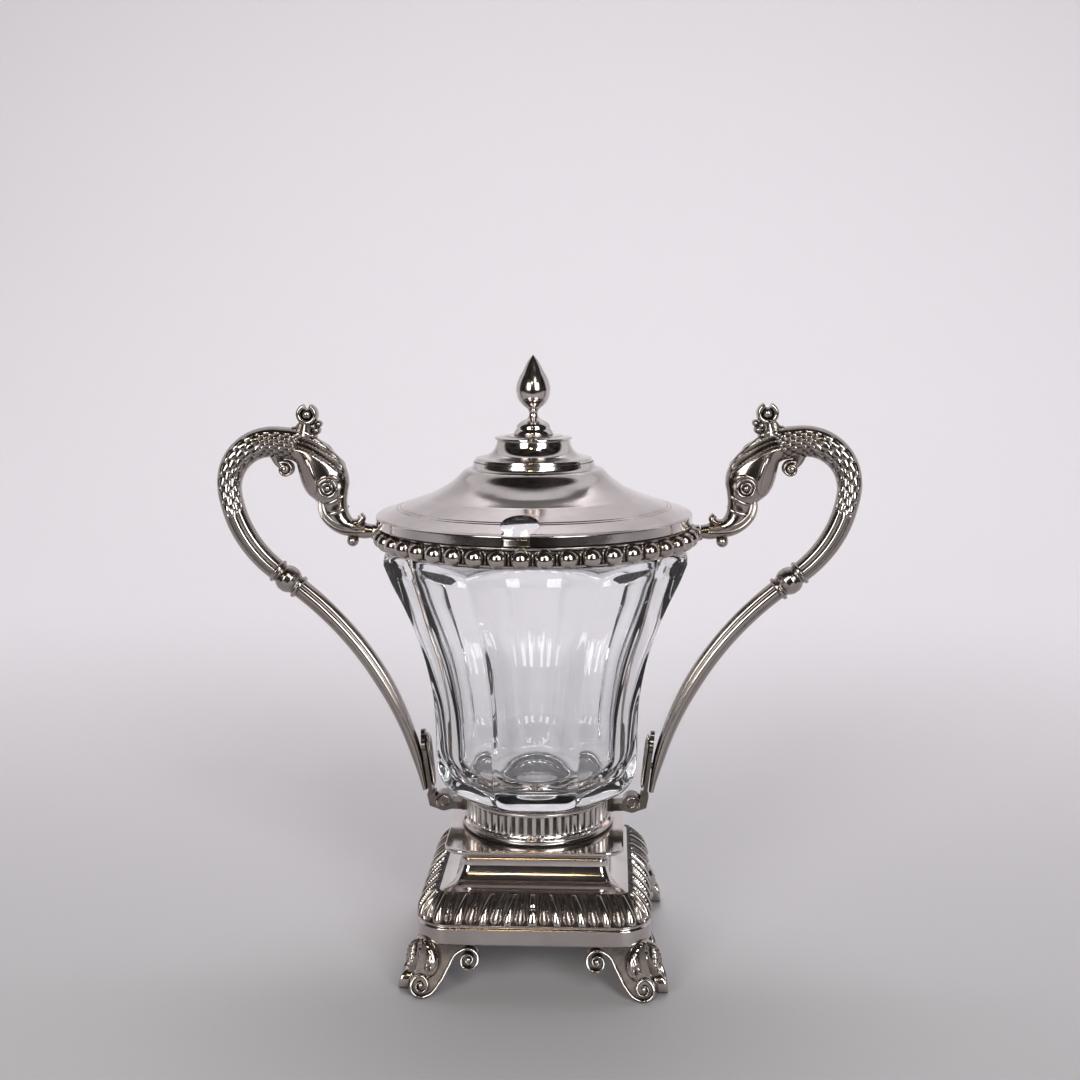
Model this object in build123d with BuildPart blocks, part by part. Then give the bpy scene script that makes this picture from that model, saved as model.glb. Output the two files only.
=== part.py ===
from build123d import *
import os
from math import atan2, cos, degrees, pi, radians, sin, sqrt, tan

os.makedirs("parts", exist_ok=True)

# Sizes are in millimetres. X runs along the two handles, -Y is the front, Z is up,
# and the origin is on the table below the middle of the pot.

# Gaps
solder_gap = 0.05  # between curved seats that are soldered
slip_gap = 0.3  # between pieces that lift off or stand loosely

# Square base, from the apron up
apron_half = 33.85
apron_corner = 9.5
apron_height = 6.0
apron_wall = 1.3
apron_edge = 0.5
corner_steps = 5
foot_height = 14.05
border_height = 7.4
border_inset = 0.5
border_run = 5.4
border_bulge = 1.1
border_wall = 2.2
lobe_pitch = 3.4
lobe_width = 2.8
lobe_root = 1.7
waist_set = 0.35
waist_neck_half = 21.0
waist_top_half = 24.7
waist_corner = 2.4
waist_height = 10.6
waist_neck_share = 0.6
waist_wall = 1.0
plate_half = 26.1
plate_corner = 6.0
plate_thickness = 1.2

# Feet: two scrolled wings that meet at a corner behind a shell
wing_thickness = 2.0
upper_volute = 3.7
upper_volute_x = 18.3
upper_volute_splay = 0.7
lower_volute = 3.6
lower_volute_x = 31.9
lower_volute_splay = 4.4
foot_pad_depth = 0.15
shell_width = 12.4
shell_height = 12.6
shell_thickness = 2.2
shell_lean = 17.0
scroll_sag = 1.1

# Turned pieces are stacks of flat facets, this many round each
fine_facets = 48
glass_facets = 32
small_facets = 20

# Round collar that holds the foot of the glass
collar_radius = 21.5
collar_height = 9.6
collar_wall = 2.2
collar_floor = 1.6
moulding_radius = 22.4
moulding_height = 2.0
flute_count = 54
flute_depth = 0.8
flute_margin = 0.9
stud_radius = 2.5
stud_clearance = 0.1
base_nut_width = 9.0
base_nut_height = 3.0

# Glass liner, with eight flats
glass_flats = 8
glass_apothem = 29.65
glass_shoulder_apothem = 43.7
glass_flare_apothem = 38.2
glass_height = 73.2
glass_flare_start = 22.9
glass_flare_middle = 59.9
belly_radius = 11.0
belly_overrun = 0.3
bevel_height = 2.5
bevel_run = 1.6
neck_radius = 40.8
neck_height = 6.0
neck_bore = 37.5
glass_bore = 25.5
glass_floor = 9.3
floor_radius = 10.0
glass_foot_radius = 18.6

# Beaded rim that is clamped down over the neck of the glass
rim_inner = 41.2
rim_wall = 0.8
rim_outer = 44.8
rim_height = 8.4
rim_flange = 1.1
strip_radius = 45.7
strip_height = 5.6
bead_count = 45
bead_radius = 2.75
bead_reach = 48.1
bead_phase = -2.1
bead_sides = 6
bead_bevel = 1.2
lug_width = 5.2
lug_height = 5.6
lug_stand = 0.2

# Lid
lid_radius = 46.3
lid_sheet = 0.7
lid_skirt = 2.85
lid_slope = 19.0
lid_trumpet_start = 31.0
lid_neck = 17.6
lid_neck_rise = 15.2
lid_hole = 13.5
lid_offset = -0.6
lid_turn = -2.3
notch_radius = 5.3
notch_middle = 40.0
notch_slot = 7.6
notch_slot_offset = -0.5
cap_radius = 16.4
cap_edge = 1.2
cap_sheet = 0.9
cap_rise = 5.25
cap_disc_radius = 10.4
cap_disc_height = 1.0
boss_radius = 5.6
boss_height = 1.35
finial_height = 23.4
finial_neck = 1.35
finial_neck_share = 0.27
bud_radius = 5.0
bud_share = 0.57
finial_tip = 0.12
finial_stud = 1.5
finial_stud_length = 4.6
finial_nut_width = 6.0
finial_nut_height = 2.0

# Brackets between the collar and the handles
bracket_x = 31.8
bracket_rise = 8.75
palmette_lean = 6.8
palmette_height = 19.8
palmette_width = 8.6
palmette_foot = 4.6
palmette_thickness = 1.2
palmette_lobe = 1.9
scroll_radius = 2.8
scroll_inset = 3.3
scroll_drop = 2.6
arm_depth = 4.6
arm_thickness = 2.4
arm_seat = 5.0
screw_rise = 9.0
screw_shank = 0.9
screw_clearance = 0.1
screw_head = 1.6
screw_head_height = 1.0
screw_length = 2.6

# Handles, measured from the face of the lug on the beaded rim
knop_x = 26.05
knop_z = -14.05
knop_angle = 38.5
knop_half = 4.6
knop_radius = 4.0
knop_ring = 3.75
knop_ring_width = 1.2
knop_waist = 2.9
calf_x = 39.5
calf_z = 0.85
hip_x = 42.9
hip_z = 11.25
crown_x = 28.1
crown_z = 27.0
nape_x = 14.3
nape_z = 19.4
brow_x = 11.0
brow_z = 9.8
mouth_radius = 6.0
tail_width = 6.3
arm_width = 7.1
nape_width = 10.8
head_width = 12.8
snout_width = 7.8
lip_width = 4.4
mouth_width = 5.0
arm_depth_low = 5.8
arm_depth_high = 7.6
head_depth = 9.6
snout_depth = 6.6
mouth_depth = 4.8
ball_x = 18.75
ball_z = 35.1
ball_radius = 3.1
ball_stalk = 1.5
fin_x = 25.6
fin_z = 20.4
fin_radius = 2.7
fin_depth = 4.4
eye_x = 13.0
eye_z = 13.4
eye_radius = 1.9
eye_stand = 0.5
chin_x = 6.4
chin_z = -2.4
chin_radius = 1.6
bar_top = 5.7
bar_middle = 5.2
bar_foot = 3.2
bar_tip = 1.4
bar_depth = 5.2
bar_foot_depth = 3.6
edge_share = 0.22
bar_tip_x = 2.6
bar_tip_rise = 0.7

# Heights of the pieces above the table
apron_base = foot_height
border_base = apron_base + apron_height
waist_base = border_base + border_height
plate_base = waist_base + waist_height
plate_top = plate_base + plate_thickness
collar_top = plate_top + collar_height
belly_base = collar_top + slip_gap
shoulder = belly_base + glass_height
lug_reach = bead_reach + lug_stand
neck_seat = shoulder + bevel_height
neck_top = neck_seat + neck_height
rim_top = neck_seat + rim_height
ring_z = neck_seat + strip_height / 2
lid_edge = rim_top + lid_sheet
lid_neck_z = lid_edge + lid_neck_rise
disc_z = lid_neck_z + cap_edge + cap_rise
finial_base = disc_z + cap_disc_height
bracket_z = plate_top + bracket_rise


def save(piece, name):
    """Label a finished piece and write it to its own file."""
    piece.part.label = name
    export_step(piece.part, f"parts/{name}.step")


def mirrored(piece, plane):
    """The same piece on the other side of a plane."""
    with BuildPart() as other:
        mirror(piece.part, about=plane)
    return other


def tapered_band(wide, narrow, rise, outline, flat):
    """Solid that narrows upward from its outline at one size to the same at another."""
    with BuildPart() as band:
        with BuildSketch(Plane.XY):
            outline(wide)
        extrude(amount=rise, taper=degrees(atan2((wide - narrow) * flat, rise)))
    return band.part


def stacked(levels, outline, flat=1.0):
    """Solid stacked through (size, height) levels; a repeated height is a step."""
    bands = []
    for (size, low), (next_size, high) in zip(levels, levels[1:]):
        if high > low and size >= next_size:
            band = tapered_band(size, next_size, high - low, outline, flat)
            bands.append(band.moved(Location((0, 0, low))))
        elif high > low:
            band = tapered_band(next_size, size, high - low, outline, flat)
            bands.append(band.mirror(Plane.XY).moved(Location((0, 0, high))))
    with BuildPart() as stack:
        add(bands)
    return stack.part


def faceted(levels, facets, turn=0.0):
    """Solid of flat facets stacked through (radius, height) levels."""
    return stacked(
        levels, lambda radius: RegularPolygon(radius, facets, rotation=turn), cos(pi / facets)
    )


def rounded_square(half, corner, steps):
    """Square whose corners are rounded in flat steps that touch the corner's circle."""
    middle = half - corner
    turn = pi / 2 / (steps + 1)
    reach = corner / cos(turn / 2)
    points = []
    for step in range(4 * (steps + 1)):
        way = turn * (step + 0.5)
        side = step // (steps + 1)
        out_x = middle if side in (0, 3) else -middle
        out_y = middle if side in (0, 1) else -middle
        points.append((out_x + reach * cos(way), out_y + reach * sin(way)))
    return Polygon(*points, align=None)


def eased(keys, share):
    """Width at a share of the way, eased between the key widths."""
    for (start, wide), (end, next_wide) in zip(keys, keys[1:]):
        if share <= end:
            mix = (1 - cos(pi * (share - start) / (end - start))) / 2
            return wide + (next_wide - wide) * mix
    return keys[-1][1]


def bent_bar(path, keys, start, end, depth, bands):
    """Bar that follows part of a line in the XZ plane, cut from a slab with its long edges taken off."""
    outer = []
    inner = []
    shares = [start + (end - start) * band / bands for band in range(bands + 1)]
    narrowest = min(eased(keys, share) for share in shares)
    for share in shares:
        spot = path @ share
        way = path % share
        half = eased(keys, share) / 2
        outer.append((spot.X + way.Z * half, spot.Z - way.X * half))
        inner.append((spot.X - way.Z * half, spot.Z + way.X * half))
    with BuildPart() as bar:
        with BuildSketch(Plane.XZ):
            Polygon(*outer, *inner[::-1], align=None)
        extrude(amount=depth / 2, both=True)
        faces = bar.faces().sort_by(Axis.Y)
        chamfer(faces[0].edges() + faces[-1].edges(), length=edge_share * min(depth, narrowest))
    return bar.part


# Apron of the base: a rounded square band with softened edges
apron_levels = (
    (apron_half, apron_base),
    (apron_half, border_base - apron_edge),
    (apron_half - apron_edge, border_base),
)
apron_hollow = ((apron_half - apron_wall, apron_base), (apron_half - apron_wall, border_base))
border_straight = apron_half - apron_corner


def corner_outline(half):
    """Outline of the base at a half size, its corners about fixed middles."""
    return rounded_square(half, half - border_straight, corner_steps)


with BuildPart() as apron_band:
    add(stacked(apron_levels, corner_outline))
    add(stacked(apron_hollow, corner_outline), mode=Mode.SUBTRACT)
save(apron_band, "apron_band")

# Gadroon border: a bulging slope on the same rounded square, set with leaning lobes
border_half = apron_half - border_inset
lobes_each_way = int(border_straight / lobe_pitch)
corner_lobes = 3


def border_level(height_share, inward=0.0):
    """Half size of the border at a share of its height, moved in by the given amount."""
    slope = border_half - border_run * height_share
    return slope + border_bulge * sin(pi * height_share) - inward


def border_body(inward, shares):
    """Solid stacked from tapered bands that follow the border's levels."""
    levels = [(border_level(share, inward), border_base + border_height * share) for share in shares]
    return stacked(levels, corner_outline)


def lobe(step, fan):
    """One lobe, a leaning ridge that swells low down; it stands on a side or fans round a corner."""
    lean = lobe_pitch * (0.55 if step > 0 or fan else -0.55 if step < 0 else 0.0)
    out = [border_level(share) - border_straight for share in (0.97, 0.07)]
    if fan:
        turn = [radians(90 * fan / (corner_lobes + 1)), radians(90 * fan / (corner_lobes + 1))]
        turn[0] -= 0.8 * lean / out[1]
        across_side = [border_straight + far * sin(way) for far, way in zip(out, turn)]
        along = [-border_straight - far * cos(way) for far, way in zip(out, turn)]
        level_way = Vector(cos(turn[1]), sin(turn[1]), 0)
    else:
        across_side = [step * lobe_pitch - lean, step * lobe_pitch]
        along = [-border_straight - far for far in out]
        level_way = Vector(1, 0, 0)
    top = Vector(across_side[0], along[0], border_base + 0.97 * border_height)
    low = Vector(across_side[1], along[1], border_base + 0.07 * border_height)
    way = low - top
    swell = (lobe_width - lobe_root) / 2 * cos(pi / 4)
    with BuildPart() as tear:
        with BuildSketch(Plane(origin=low, x_dir=way.cross(level_way).cross(way), z_dir=-way)):
            RegularPolygon(lobe_width / 2, 4)
        extrude(amount=way.length, taper=degrees(atan2(swell, way.length)))
    return tear.part


side_lobes = [lobe(step, 0) for step in range(-lobes_each_way, lobes_each_way + 1)]
side_lobes += [lobe(0, step + 1) for step in range(corner_lobes)]
with BuildPart() as gadroon_border:
    add(border_body(0.0, (0.0, 0.3, 0.65, 1.0)))
    with Locations(*[Rotation(0, 0, 90 * side) for side in range(4)]):
        add(side_lobes)
    with BuildSketch(Plane.XY.offset(border_base)):
        Rectangle(3 * apron_half, 3 * apron_half)
    extrude(amount=-border_height, mode=Mode.SUBTRACT)
    add(border_body(border_wall, (0.0, 1.0)), mode=Mode.SUBTRACT)
save(gadroon_border, "gadroon_border")


waist_foot_half = border_half - border_run - waist_set


def waist_levels(inward):
    """Half sizes up the waist: two hollow curves that meet at its neck."""
    neck_z = waist_base + waist_height * waist_neck_share
    below = waist_foot_half - waist_neck_half
    above = waist_top_half - waist_neck_half
    levels = []
    for turn in (90, 50, 12):
        level = neck_z - (neck_z - waist_base) * sin(radians(turn))
        levels.append((waist_foot_half - below * cos(radians(turn)) - inward, level))
    for turn in (25, 90):
        level = neck_z + (plate_base - neck_z) * sin(radians(turn))
        levels.append((waist_top_half - above * cos(radians(turn)) - inward, level))
    return levels


# Waist: a hollow square scotia between the border and the top plate
with BuildPart() as plinth_waist:
    for half, level in waist_levels(0.0):
        with BuildSketch(Plane.XY.offset(level)):
            RectangleRounded(2 * half, 2 * half, waist_corner)
    loft(ruled=True)
    hollow = stacked(waist_levels(waist_wall), lambda half: Rectangle(2 * half, 2 * half))
    add(hollow, mode=Mode.SUBTRACT)
save(plinth_waist, "plinth_waist")

# Top plate of the plinth, bored for the stud of the collar
with BuildPart() as plinth_plate:
    with BuildSketch(Plane.XY.offset(plate_base)):
        rounded_square(plate_half, plate_corner, corner_steps)
        Circle(stud_radius + stud_clearance, mode=Mode.SUBTRACT)
    extrude(amount=plate_thickness)
save(plinth_plate, "plinth_plate")

# Front right foot; the other three are mirrored from it
wing_face = Plane.XZ.offset(apron_half)
lower_volute_z = lower_volute - foot_pad_depth
upper_volute_z = foot_height - upper_volute
scroll_middle_x = (upper_volute_x + lower_volute_x) / 2
scroll_middle_z = (upper_volute_z + lower_volute_z) / 2 - scroll_sag
shell_middle = (apron_half - apron_corner) * sqrt(2) + apron_corner + shell_thickness / 2


def volute(x, z, radius, splay):
    """Round volute from the back of a wing to in front of its face."""
    with BuildPart() as scroll:
        with BuildSketch(wing_face.offset(-wing_thickness)):
            with Locations((x, z)):
                RegularPolygon(radius, small_facets)
        extrude(amount=wing_thickness + splay)
    return scroll.part


def foot_wing():
    """Wing of a foot along the front: a scrolled web between two volutes."""
    with BuildPart() as wing:
        with BuildSketch(wing_face.offset(-wing_thickness)):
            with BuildLine():
                top = Line((upper_volute_x, foot_height), (apron_half, foot_height))
                side = Line(top @ 1, (lower_volute_x + 0.55 * lower_volute, lower_volute_z))
                inner = Line(side @ 1, (lower_volute_x - 0.67 * lower_volute, 0.43 * lower_volute_z))
                scroll = ThreePointArc(
                    inner @ 1,
                    (scroll_middle_x, scroll_middle_z),
                    (upper_volute_x + 0.86 * upper_volute, upper_volute_z + 0.38 * upper_volute),
                )
                Line(scroll @ 1, top @ 0)
            make_face()
        extrude(amount=wing_thickness)
        add(volute(upper_volute_x, upper_volute_z, upper_volute, upper_volute_splay))
        add(volute(lower_volute_x, lower_volute_z, lower_volute, lower_volute_splay))
    return wing.part


def foot_shell():
    """Shell that leans out over the corner of the apron."""
    away = Vector(1, -1, 0).normalized()
    lean = radians(shell_lean)
    facing = away * cos(lean) + Vector(0, 0, sin(lean))
    base = away * (shell_middle + shell_height * sin(lean) / 2) + Vector(0, 0, lower_volute_z)
    face = Plane(origin=base, x_dir=(1, 1, 0), z_dir=facing)
    with BuildPart() as shell:
        with BuildSketch(face):
            with Locations((0, shell_height / 2)):
                RegularPolygon(shell_height / 2, small_facets)
        extrude(amount=shell_thickness / 2, both=True)
    return shell.part


corner_plane = Plane(origin=(0, 0, 0), z_dir=(1, 1, 0))
front_wing = foot_wing()
side_wing = front_wing.mirror(corner_plane)
with BuildPart() as foot_front_right:
    add(front_wing)
    add(side_wing)
    add(foot_shell())
    with BuildSketch(Plane.XY):
        Rectangle(4 * apron_half, 4 * apron_half)
    extrude(amount=-foot_height, mode=Mode.SUBTRACT)
    with BuildSketch(Plane.XY.offset(foot_height)):
        corner_outline(apron_half + solder_gap)
    extrude(amount=apron_height, mode=Mode.SUBTRACT)
save(foot_front_right, "foot_front_right")
foot_front_left = mirrored(foot_front_right, Plane.YZ)
save(foot_front_left, "foot_front_left")
save(mirrored(foot_front_right, Plane.XZ), "foot_back_right")
save(mirrored(foot_front_left, Plane.XZ), "foot_back_left")

# Collar: a fluted drum on a round moulding, with a stud below its floor
collar_bore = collar_radius - collar_wall
collar_seat = plate_top + collar_floor
flute_base = plate_top + moulding_height
collar_levels = (
    (moulding_radius, plate_top),
    (moulding_radius, plate_top + 0.6 * moulding_height),
    (collar_radius, flute_base),
    (collar_radius, collar_top),
)
with BuildPart() as fluted_collar:
    add(faceted(collar_levels, flute_count))
    add(
        faceted([(collar_bore, collar_seat), (collar_bore, collar_top)], fine_facets),
        mode=Mode.SUBTRACT,
    )
    with BuildSketch(Plane.XY.offset(flute_base + flute_margin / 2)):
        with PolarLocations(collar_radius, flute_count):
            Rectangle(2 * flute_depth, pi * collar_radius / flute_count)
    extrude(amount=collar_height - moulding_height - flute_margin, mode=Mode.SUBTRACT)
    with BuildSketch(Plane.XY.offset(plate_top)):
        Circle(stud_radius)
    extrude(amount=-(plate_thickness + base_nut_height + 1.0))
save(fluted_collar, "fluted_collar")

# Nut under the top plate
with BuildPart() as base_nut:
    with BuildSketch(Plane.XY.offset(plate_base)):
        RegularPolygon(base_nut_width / 2, 6, major_radius=False)
        Circle(stud_radius + solder_gap, mode=Mode.SUBTRACT)
    extrude(amount=-base_nut_height)
save(base_nut, "base_nut")

# Glass liner: a turned blank with a round belly, ground to eight flared flats
flare_start = belly_base + glass_flare_start
flare_middle = belly_base + glass_flare_middle
glass_foot_z = collar_seat
glass_floor_z = belly_base + glass_floor
belly_centre = glass_apothem / cos(pi / glass_flats) - belly_radius + belly_overrun
belly_steps = 4


def quarter(x, z, radius, steps):
    """Points of a rounded corner, from its bottom round to its side."""
    turns = [pi / 2 * step / steps for step in range(steps + 1)]
    return [(x + radius * sin(turn), z - radius * cos(turn)) for turn in turns]


belly = quarter(belly_centre, belly_base + belly_radius, belly_radius, belly_steps)
basin = quarter(glass_bore - floor_radius, glass_floor_z + floor_radius, floor_radius, belly_steps)
blank_levels = (
    (glass_foot_radius, glass_foot_z),
    (glass_foot_radius, belly_base),
    *belly,
    (glass_shoulder_apothem + belly_radius, flare_middle),
    (glass_shoulder_apothem + belly_radius, neck_seat),
    (neck_radius, neck_seat),
    (neck_radius, neck_top),
)
cavity_levels = (
    *basin,
    (glass_bore, flare_start),
    (glass_bore + 1.6, (flare_start + flare_middle) / 2),
    (glass_flare_apothem - 4.2, flare_middle),
    (neck_bore, shoulder - 2.0),
    (neck_bore, neck_top),
)
with BuildPart() as glass_liner:
    add(faceted(blank_levels, glass_facets))
    for turn in range(glass_flats // 2):
        slab = Plane.XZ.rotated((0, 0, 360 / glass_flats * turn))
        with BuildSketch(slab):
            with BuildLine():
                side = Line((glass_apothem, 0), (glass_apothem, flare_start))
                flare = TangentArc(side @ 1, (glass_flare_apothem, flare_middle), tangent=(0, 1))
                lip = TangentArc(
                    flare @ 1, (glass_shoulder_apothem, shoulder), tangent=flare % 1
                )
                bevel = Polyline(
                    lip @ 1,
                    (glass_shoulder_apothem - bevel_run, neck_seat),
                    (glass_shoulder_apothem - bevel_run, neck_top + 1),
                    (0, neck_top + 1),
                    (0, 0),
                    side @ 0,
                )
            make_face()
            mirror(about=Plane.YZ)
        extrude(amount=2 * glass_shoulder_apothem, both=True, mode=Mode.INTERSECT)
    add(faceted(cavity_levels, glass_facets), mode=Mode.SUBTRACT)
save(glass_liner, "glass_liner")

# Beaded rim: a flanged ring over the neck of the glass, set with beads and two lugs
bead_root = strip_radius - 0.6
with BuildPart() as bead:
    with BuildSketch(Plane.YZ.offset(bead_root)):
        with Locations((0, ring_z)):
            RegularPolygon(bead_radius, bead_sides)
    extrude(amount=bead_reach - bead_root)
    chamfer(bead.faces().sort_by(Axis.X)[-1].edges(), length=bead_bevel)
bead_turns = [bead_phase - 90 + 360 / bead_count * step for step in range(bead_count)]
rim_turn = bead_turns[0] + 180 / bead_count
rim_levels = (
    (strip_radius, neck_seat),
    (strip_radius, neck_seat + strip_height),
    (rim_outer, neck_seat + strip_height),
    (rim_outer, rim_top),
)
rim_hollow = (
    (rim_inner, neck_seat),
    (rim_inner, neck_seat + rim_flange),
    (rim_outer - rim_wall, neck_seat + rim_flange),
    (rim_outer - rim_wall, rim_top),
)
with BuildPart() as beaded_rim:
    add(faceted(rim_levels, bead_count, rim_turn))
    add(faceted(rim_hollow, bead_count, rim_turn), mode=Mode.SUBTRACT)
    with Locations(*[Rotation(0, 0, turn) for turn in bead_turns]):
        add(bead.part)
    for way in (-1, 1):
        with BuildSketch(Plane.YZ.offset(way * (strip_radius - 0.5))):
            with Locations((0, ring_z)):
                Rectangle(lug_width, lug_height)
        extrude(amount=way * (lug_reach - strip_radius + 0.5))
save(beaded_rim, "beaded_rim")

# Lid: a thin trumpet-shaped cover with a short skirt and a keyhole notch for the spoon
lid_rise = tan(radians(lid_slope))
trumpet_z = lid_edge + (lid_radius - lid_trumpet_start) * lid_rise
trumpet_steps = 3


def trumpet(inward):
    """Points of the lid's hollow curve, steepening from the cone to the neck."""
    points = []
    for step in range(trumpet_steps + 1):
        turn = radians(lid_slope + (72 - lid_slope) * step / trumpet_steps)
        first = radians(lid_slope)
        last = radians(72)
        out = (sin(last) - sin(turn)) / (sin(last) - sin(first))
        up = (cos(first) - cos(turn)) / (cos(first) - cos(last))
        points.append(
            (
                lid_neck + (lid_trumpet_start - lid_neck) * out - inward * sin(turn),
                trumpet_z + (lid_neck_z - trumpet_z) * up - inward * cos(turn),
            )
        )
    return points


lid_levels = (
    (lid_radius, lid_edge - lid_skirt),
    (lid_radius, lid_edge),
    *trumpet(0.0),
)
lid_hollow = (
    (lid_radius - lid_sheet, lid_edge - lid_skirt),
    (lid_radius - lid_sheet, lid_edge - lid_sheet),
    *trumpet(lid_sheet)[:-1],
    (lid_neck - lid_sheet, lid_neck_z - lid_sheet),
    (lid_hole, lid_neck_z - lid_sheet),
    (lid_hole, lid_neck_z),
)
with BuildPart() as lid_cover:
    add(faceted(lid_levels, fine_facets))
    add(faceted(lid_hollow, fine_facets), mode=Mode.SUBTRACT)
    with BuildSketch(Plane.XY.offset(lid_edge - 2 * lid_skirt)):
        with Locations((0, -notch_middle)):
            Circle(notch_radius)
        with Locations((notch_slot_offset, -notch_middle)):
            Rectangle(notch_slot, notch_radius + lid_radius, align=(Align.CENTER, Align.MAX))
    extrude(amount=lid_neck_z - lid_edge + 2 * lid_skirt, mode=Mode.SUBTRACT)
lid_place = Location((lid_offset, 0, 0), (0, 0, lid_turn))
lid_cover.part = lid_cover.part.moved(lid_place)
save(lid_cover, "lid_cover")

# Cap under the finial: a hollow curve up to a small disc, soldered to the lid's neck
cap_hollow = cap_radius - cap_disc_radius - cap_edge


def cavetto(inward):
    """Points of the cap's hollow curve, from its foot up to the disc."""
    return [
        (
            cap_disc_radius + cap_hollow * (1 - sin(radians(turn))) - inward,
            disc_z - cap_rise * cos(radians(turn)) - inward * cos(radians(turn)),
        )
        for turn in (0, 30, 60, 90)
    ]


cap_levels = (
    (cap_radius, lid_neck_z),
    (cap_radius, lid_neck_z + cap_edge),
    *cavetto(0.0),
    (cap_disc_radius, disc_z + cap_disc_height),
)
cap_inside = (
    (cap_radius - cap_edge - cap_sheet, lid_neck_z),
    *cavetto(cap_sheet)[1:],
    (finial_stud + stud_clearance, disc_z),
    (finial_stud + stud_clearance, disc_z + cap_disc_height),
)
with BuildPart() as finial_cap:
    add(faceted(cap_levels, fine_facets // 2))
    add(faceted(cap_inside, fine_facets // 2), mode=Mode.SUBTRACT)
finial_cap.part = finial_cap.part.moved(lid_place)
save(finial_cap, "finial_cap")

# Finial: a bud on a turned stem, with a stud through the cap
bud_z = finial_base + bud_share * finial_height
stem_z = finial_base + finial_neck_share * finial_height
finial_top = finial_base + finial_height
finial_levels = (
    (finial_stud, finial_base - finial_stud_length),
    (finial_stud, finial_base),
    (boss_radius, finial_base),
    (boss_radius, finial_base + boss_height),
    (0.72 * boss_radius, finial_base + 3.0 * boss_height),
    (finial_neck, stem_z - boss_height),
    (finial_neck, stem_z),
    (0.84 * bud_radius, bud_z - 0.72 * bud_radius),
    (bud_radius, bud_z),
    (0.79 * bud_radius, bud_z + 0.72 * bud_radius),
    (0.3 * bud_radius, finial_top - 0.36 * bud_radius),
    (finial_tip, finial_top),
)
with BuildPart() as finial:
    add(faceted(finial_levels, small_facets))
finial.part = finial.part.moved(lid_place)
save(finial, "finial")

# Nut inside the cap
with BuildPart() as finial_nut:
    with BuildSketch(Plane.XY.offset(disc_z)):
        RegularPolygon(finial_nut_width / 2, 6, major_radius=False)
        Circle(finial_stud + solder_gap, mode=Mode.SUBTRACT)
    extrude(amount=-finial_nut_height)
finial_nut.part = finial_nut.part.moved(lid_place)
save(finial_nut, "finial_nut")

# Bracket on the right: a scrolled arm from the collar and a leaning palmette
palmette_way = Vector(sin(radians(palmette_lean)), 0, cos(radians(palmette_lean)))
palmette_out = Vector(cos(radians(palmette_lean)), 0, -sin(radians(palmette_lean)))
palmette_face = Plane(origin=(bracket_x, 0, bracket_z), x_dir=(0, 1, 0), z_dir=palmette_out)
scroll_x = bracket_x - scroll_inset
scroll_z = bracket_z - scroll_drop
with BuildPart() as bracket_right:
    with BuildSketch(palmette_face):
        Circle(palmette_foot / 2)
        with Locations((0, palmette_height - palmette_width / 2)):
            Circle(palmette_width / 2 - 0.6)
        make_hull()
        with Locations(
            *[
                (
                    (palmette_width / 2 - palmette_lobe) * cos(turn),
                    palmette_height - palmette_width / 2 + (palmette_width / 2 - palmette_lobe) * sin(turn),
                )
                for turn in (0, pi / 2, pi)
            ]
        ):
            Circle(palmette_lobe)
        with Locations((0, screw_rise)):
            Circle(screw_shank + screw_clearance, mode=Mode.SUBTRACT)
    extrude(amount=palmette_thickness)
    with BuildSketch(Plane.XZ):
        with BuildLine():
            Polyline(
                (collar_radius - 1.0, scroll_z - 1.2),
                (scroll_x - scroll_radius + 0.4, scroll_z - 1.0),
                (scroll_x, scroll_z - scroll_radius + arm_thickness / 2),
                (bracket_x, scroll_z - 0.4),
                (bracket_x + palmette_thickness / 2, bracket_z),
            )
        trace(line_width=arm_thickness)
        with Locations((scroll_x, scroll_z)):
            RegularPolygon(scroll_radius, small_facets)
        with Locations((collar_radius, scroll_z)):
            Rectangle(3.0, arm_seat)
    extrude(amount=arm_depth / 2, both=True)
    with BuildSketch(Plane.XY.offset(plate_top)):
        Circle(moulding_radius + solder_gap)
    extrude(amount=moulding_height, mode=Mode.SUBTRACT)
    with BuildSketch(Plane.XY.offset(plate_top)):
        Circle(collar_radius + solder_gap)
    extrude(amount=collar_height, mode=Mode.SUBTRACT)
save(bracket_right, "bracket_right")
save(mirrored(bracket_right, Plane.YZ), "bracket_left")

# Screw that holds the foot of the handle against the palmette
screw_plane = Plane(palmette_face.origin + palmette_way * screw_rise, x_dir=(0, 1, 0), z_dir=palmette_out)
with BuildPart() as handle_screw_right:
    with BuildSketch(screw_plane):
        RegularPolygon(screw_head, small_facets)
    extrude(amount=-screw_head_height)
    with BuildSketch(screw_plane):
        RegularPolygon(screw_shank, small_facets)
    extrude(amount=screw_length)
save(handle_screw_right, "handle_screw_right")
save(mirrored(handle_screw_right, Plane.YZ), "handle_screw_left")


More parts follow.
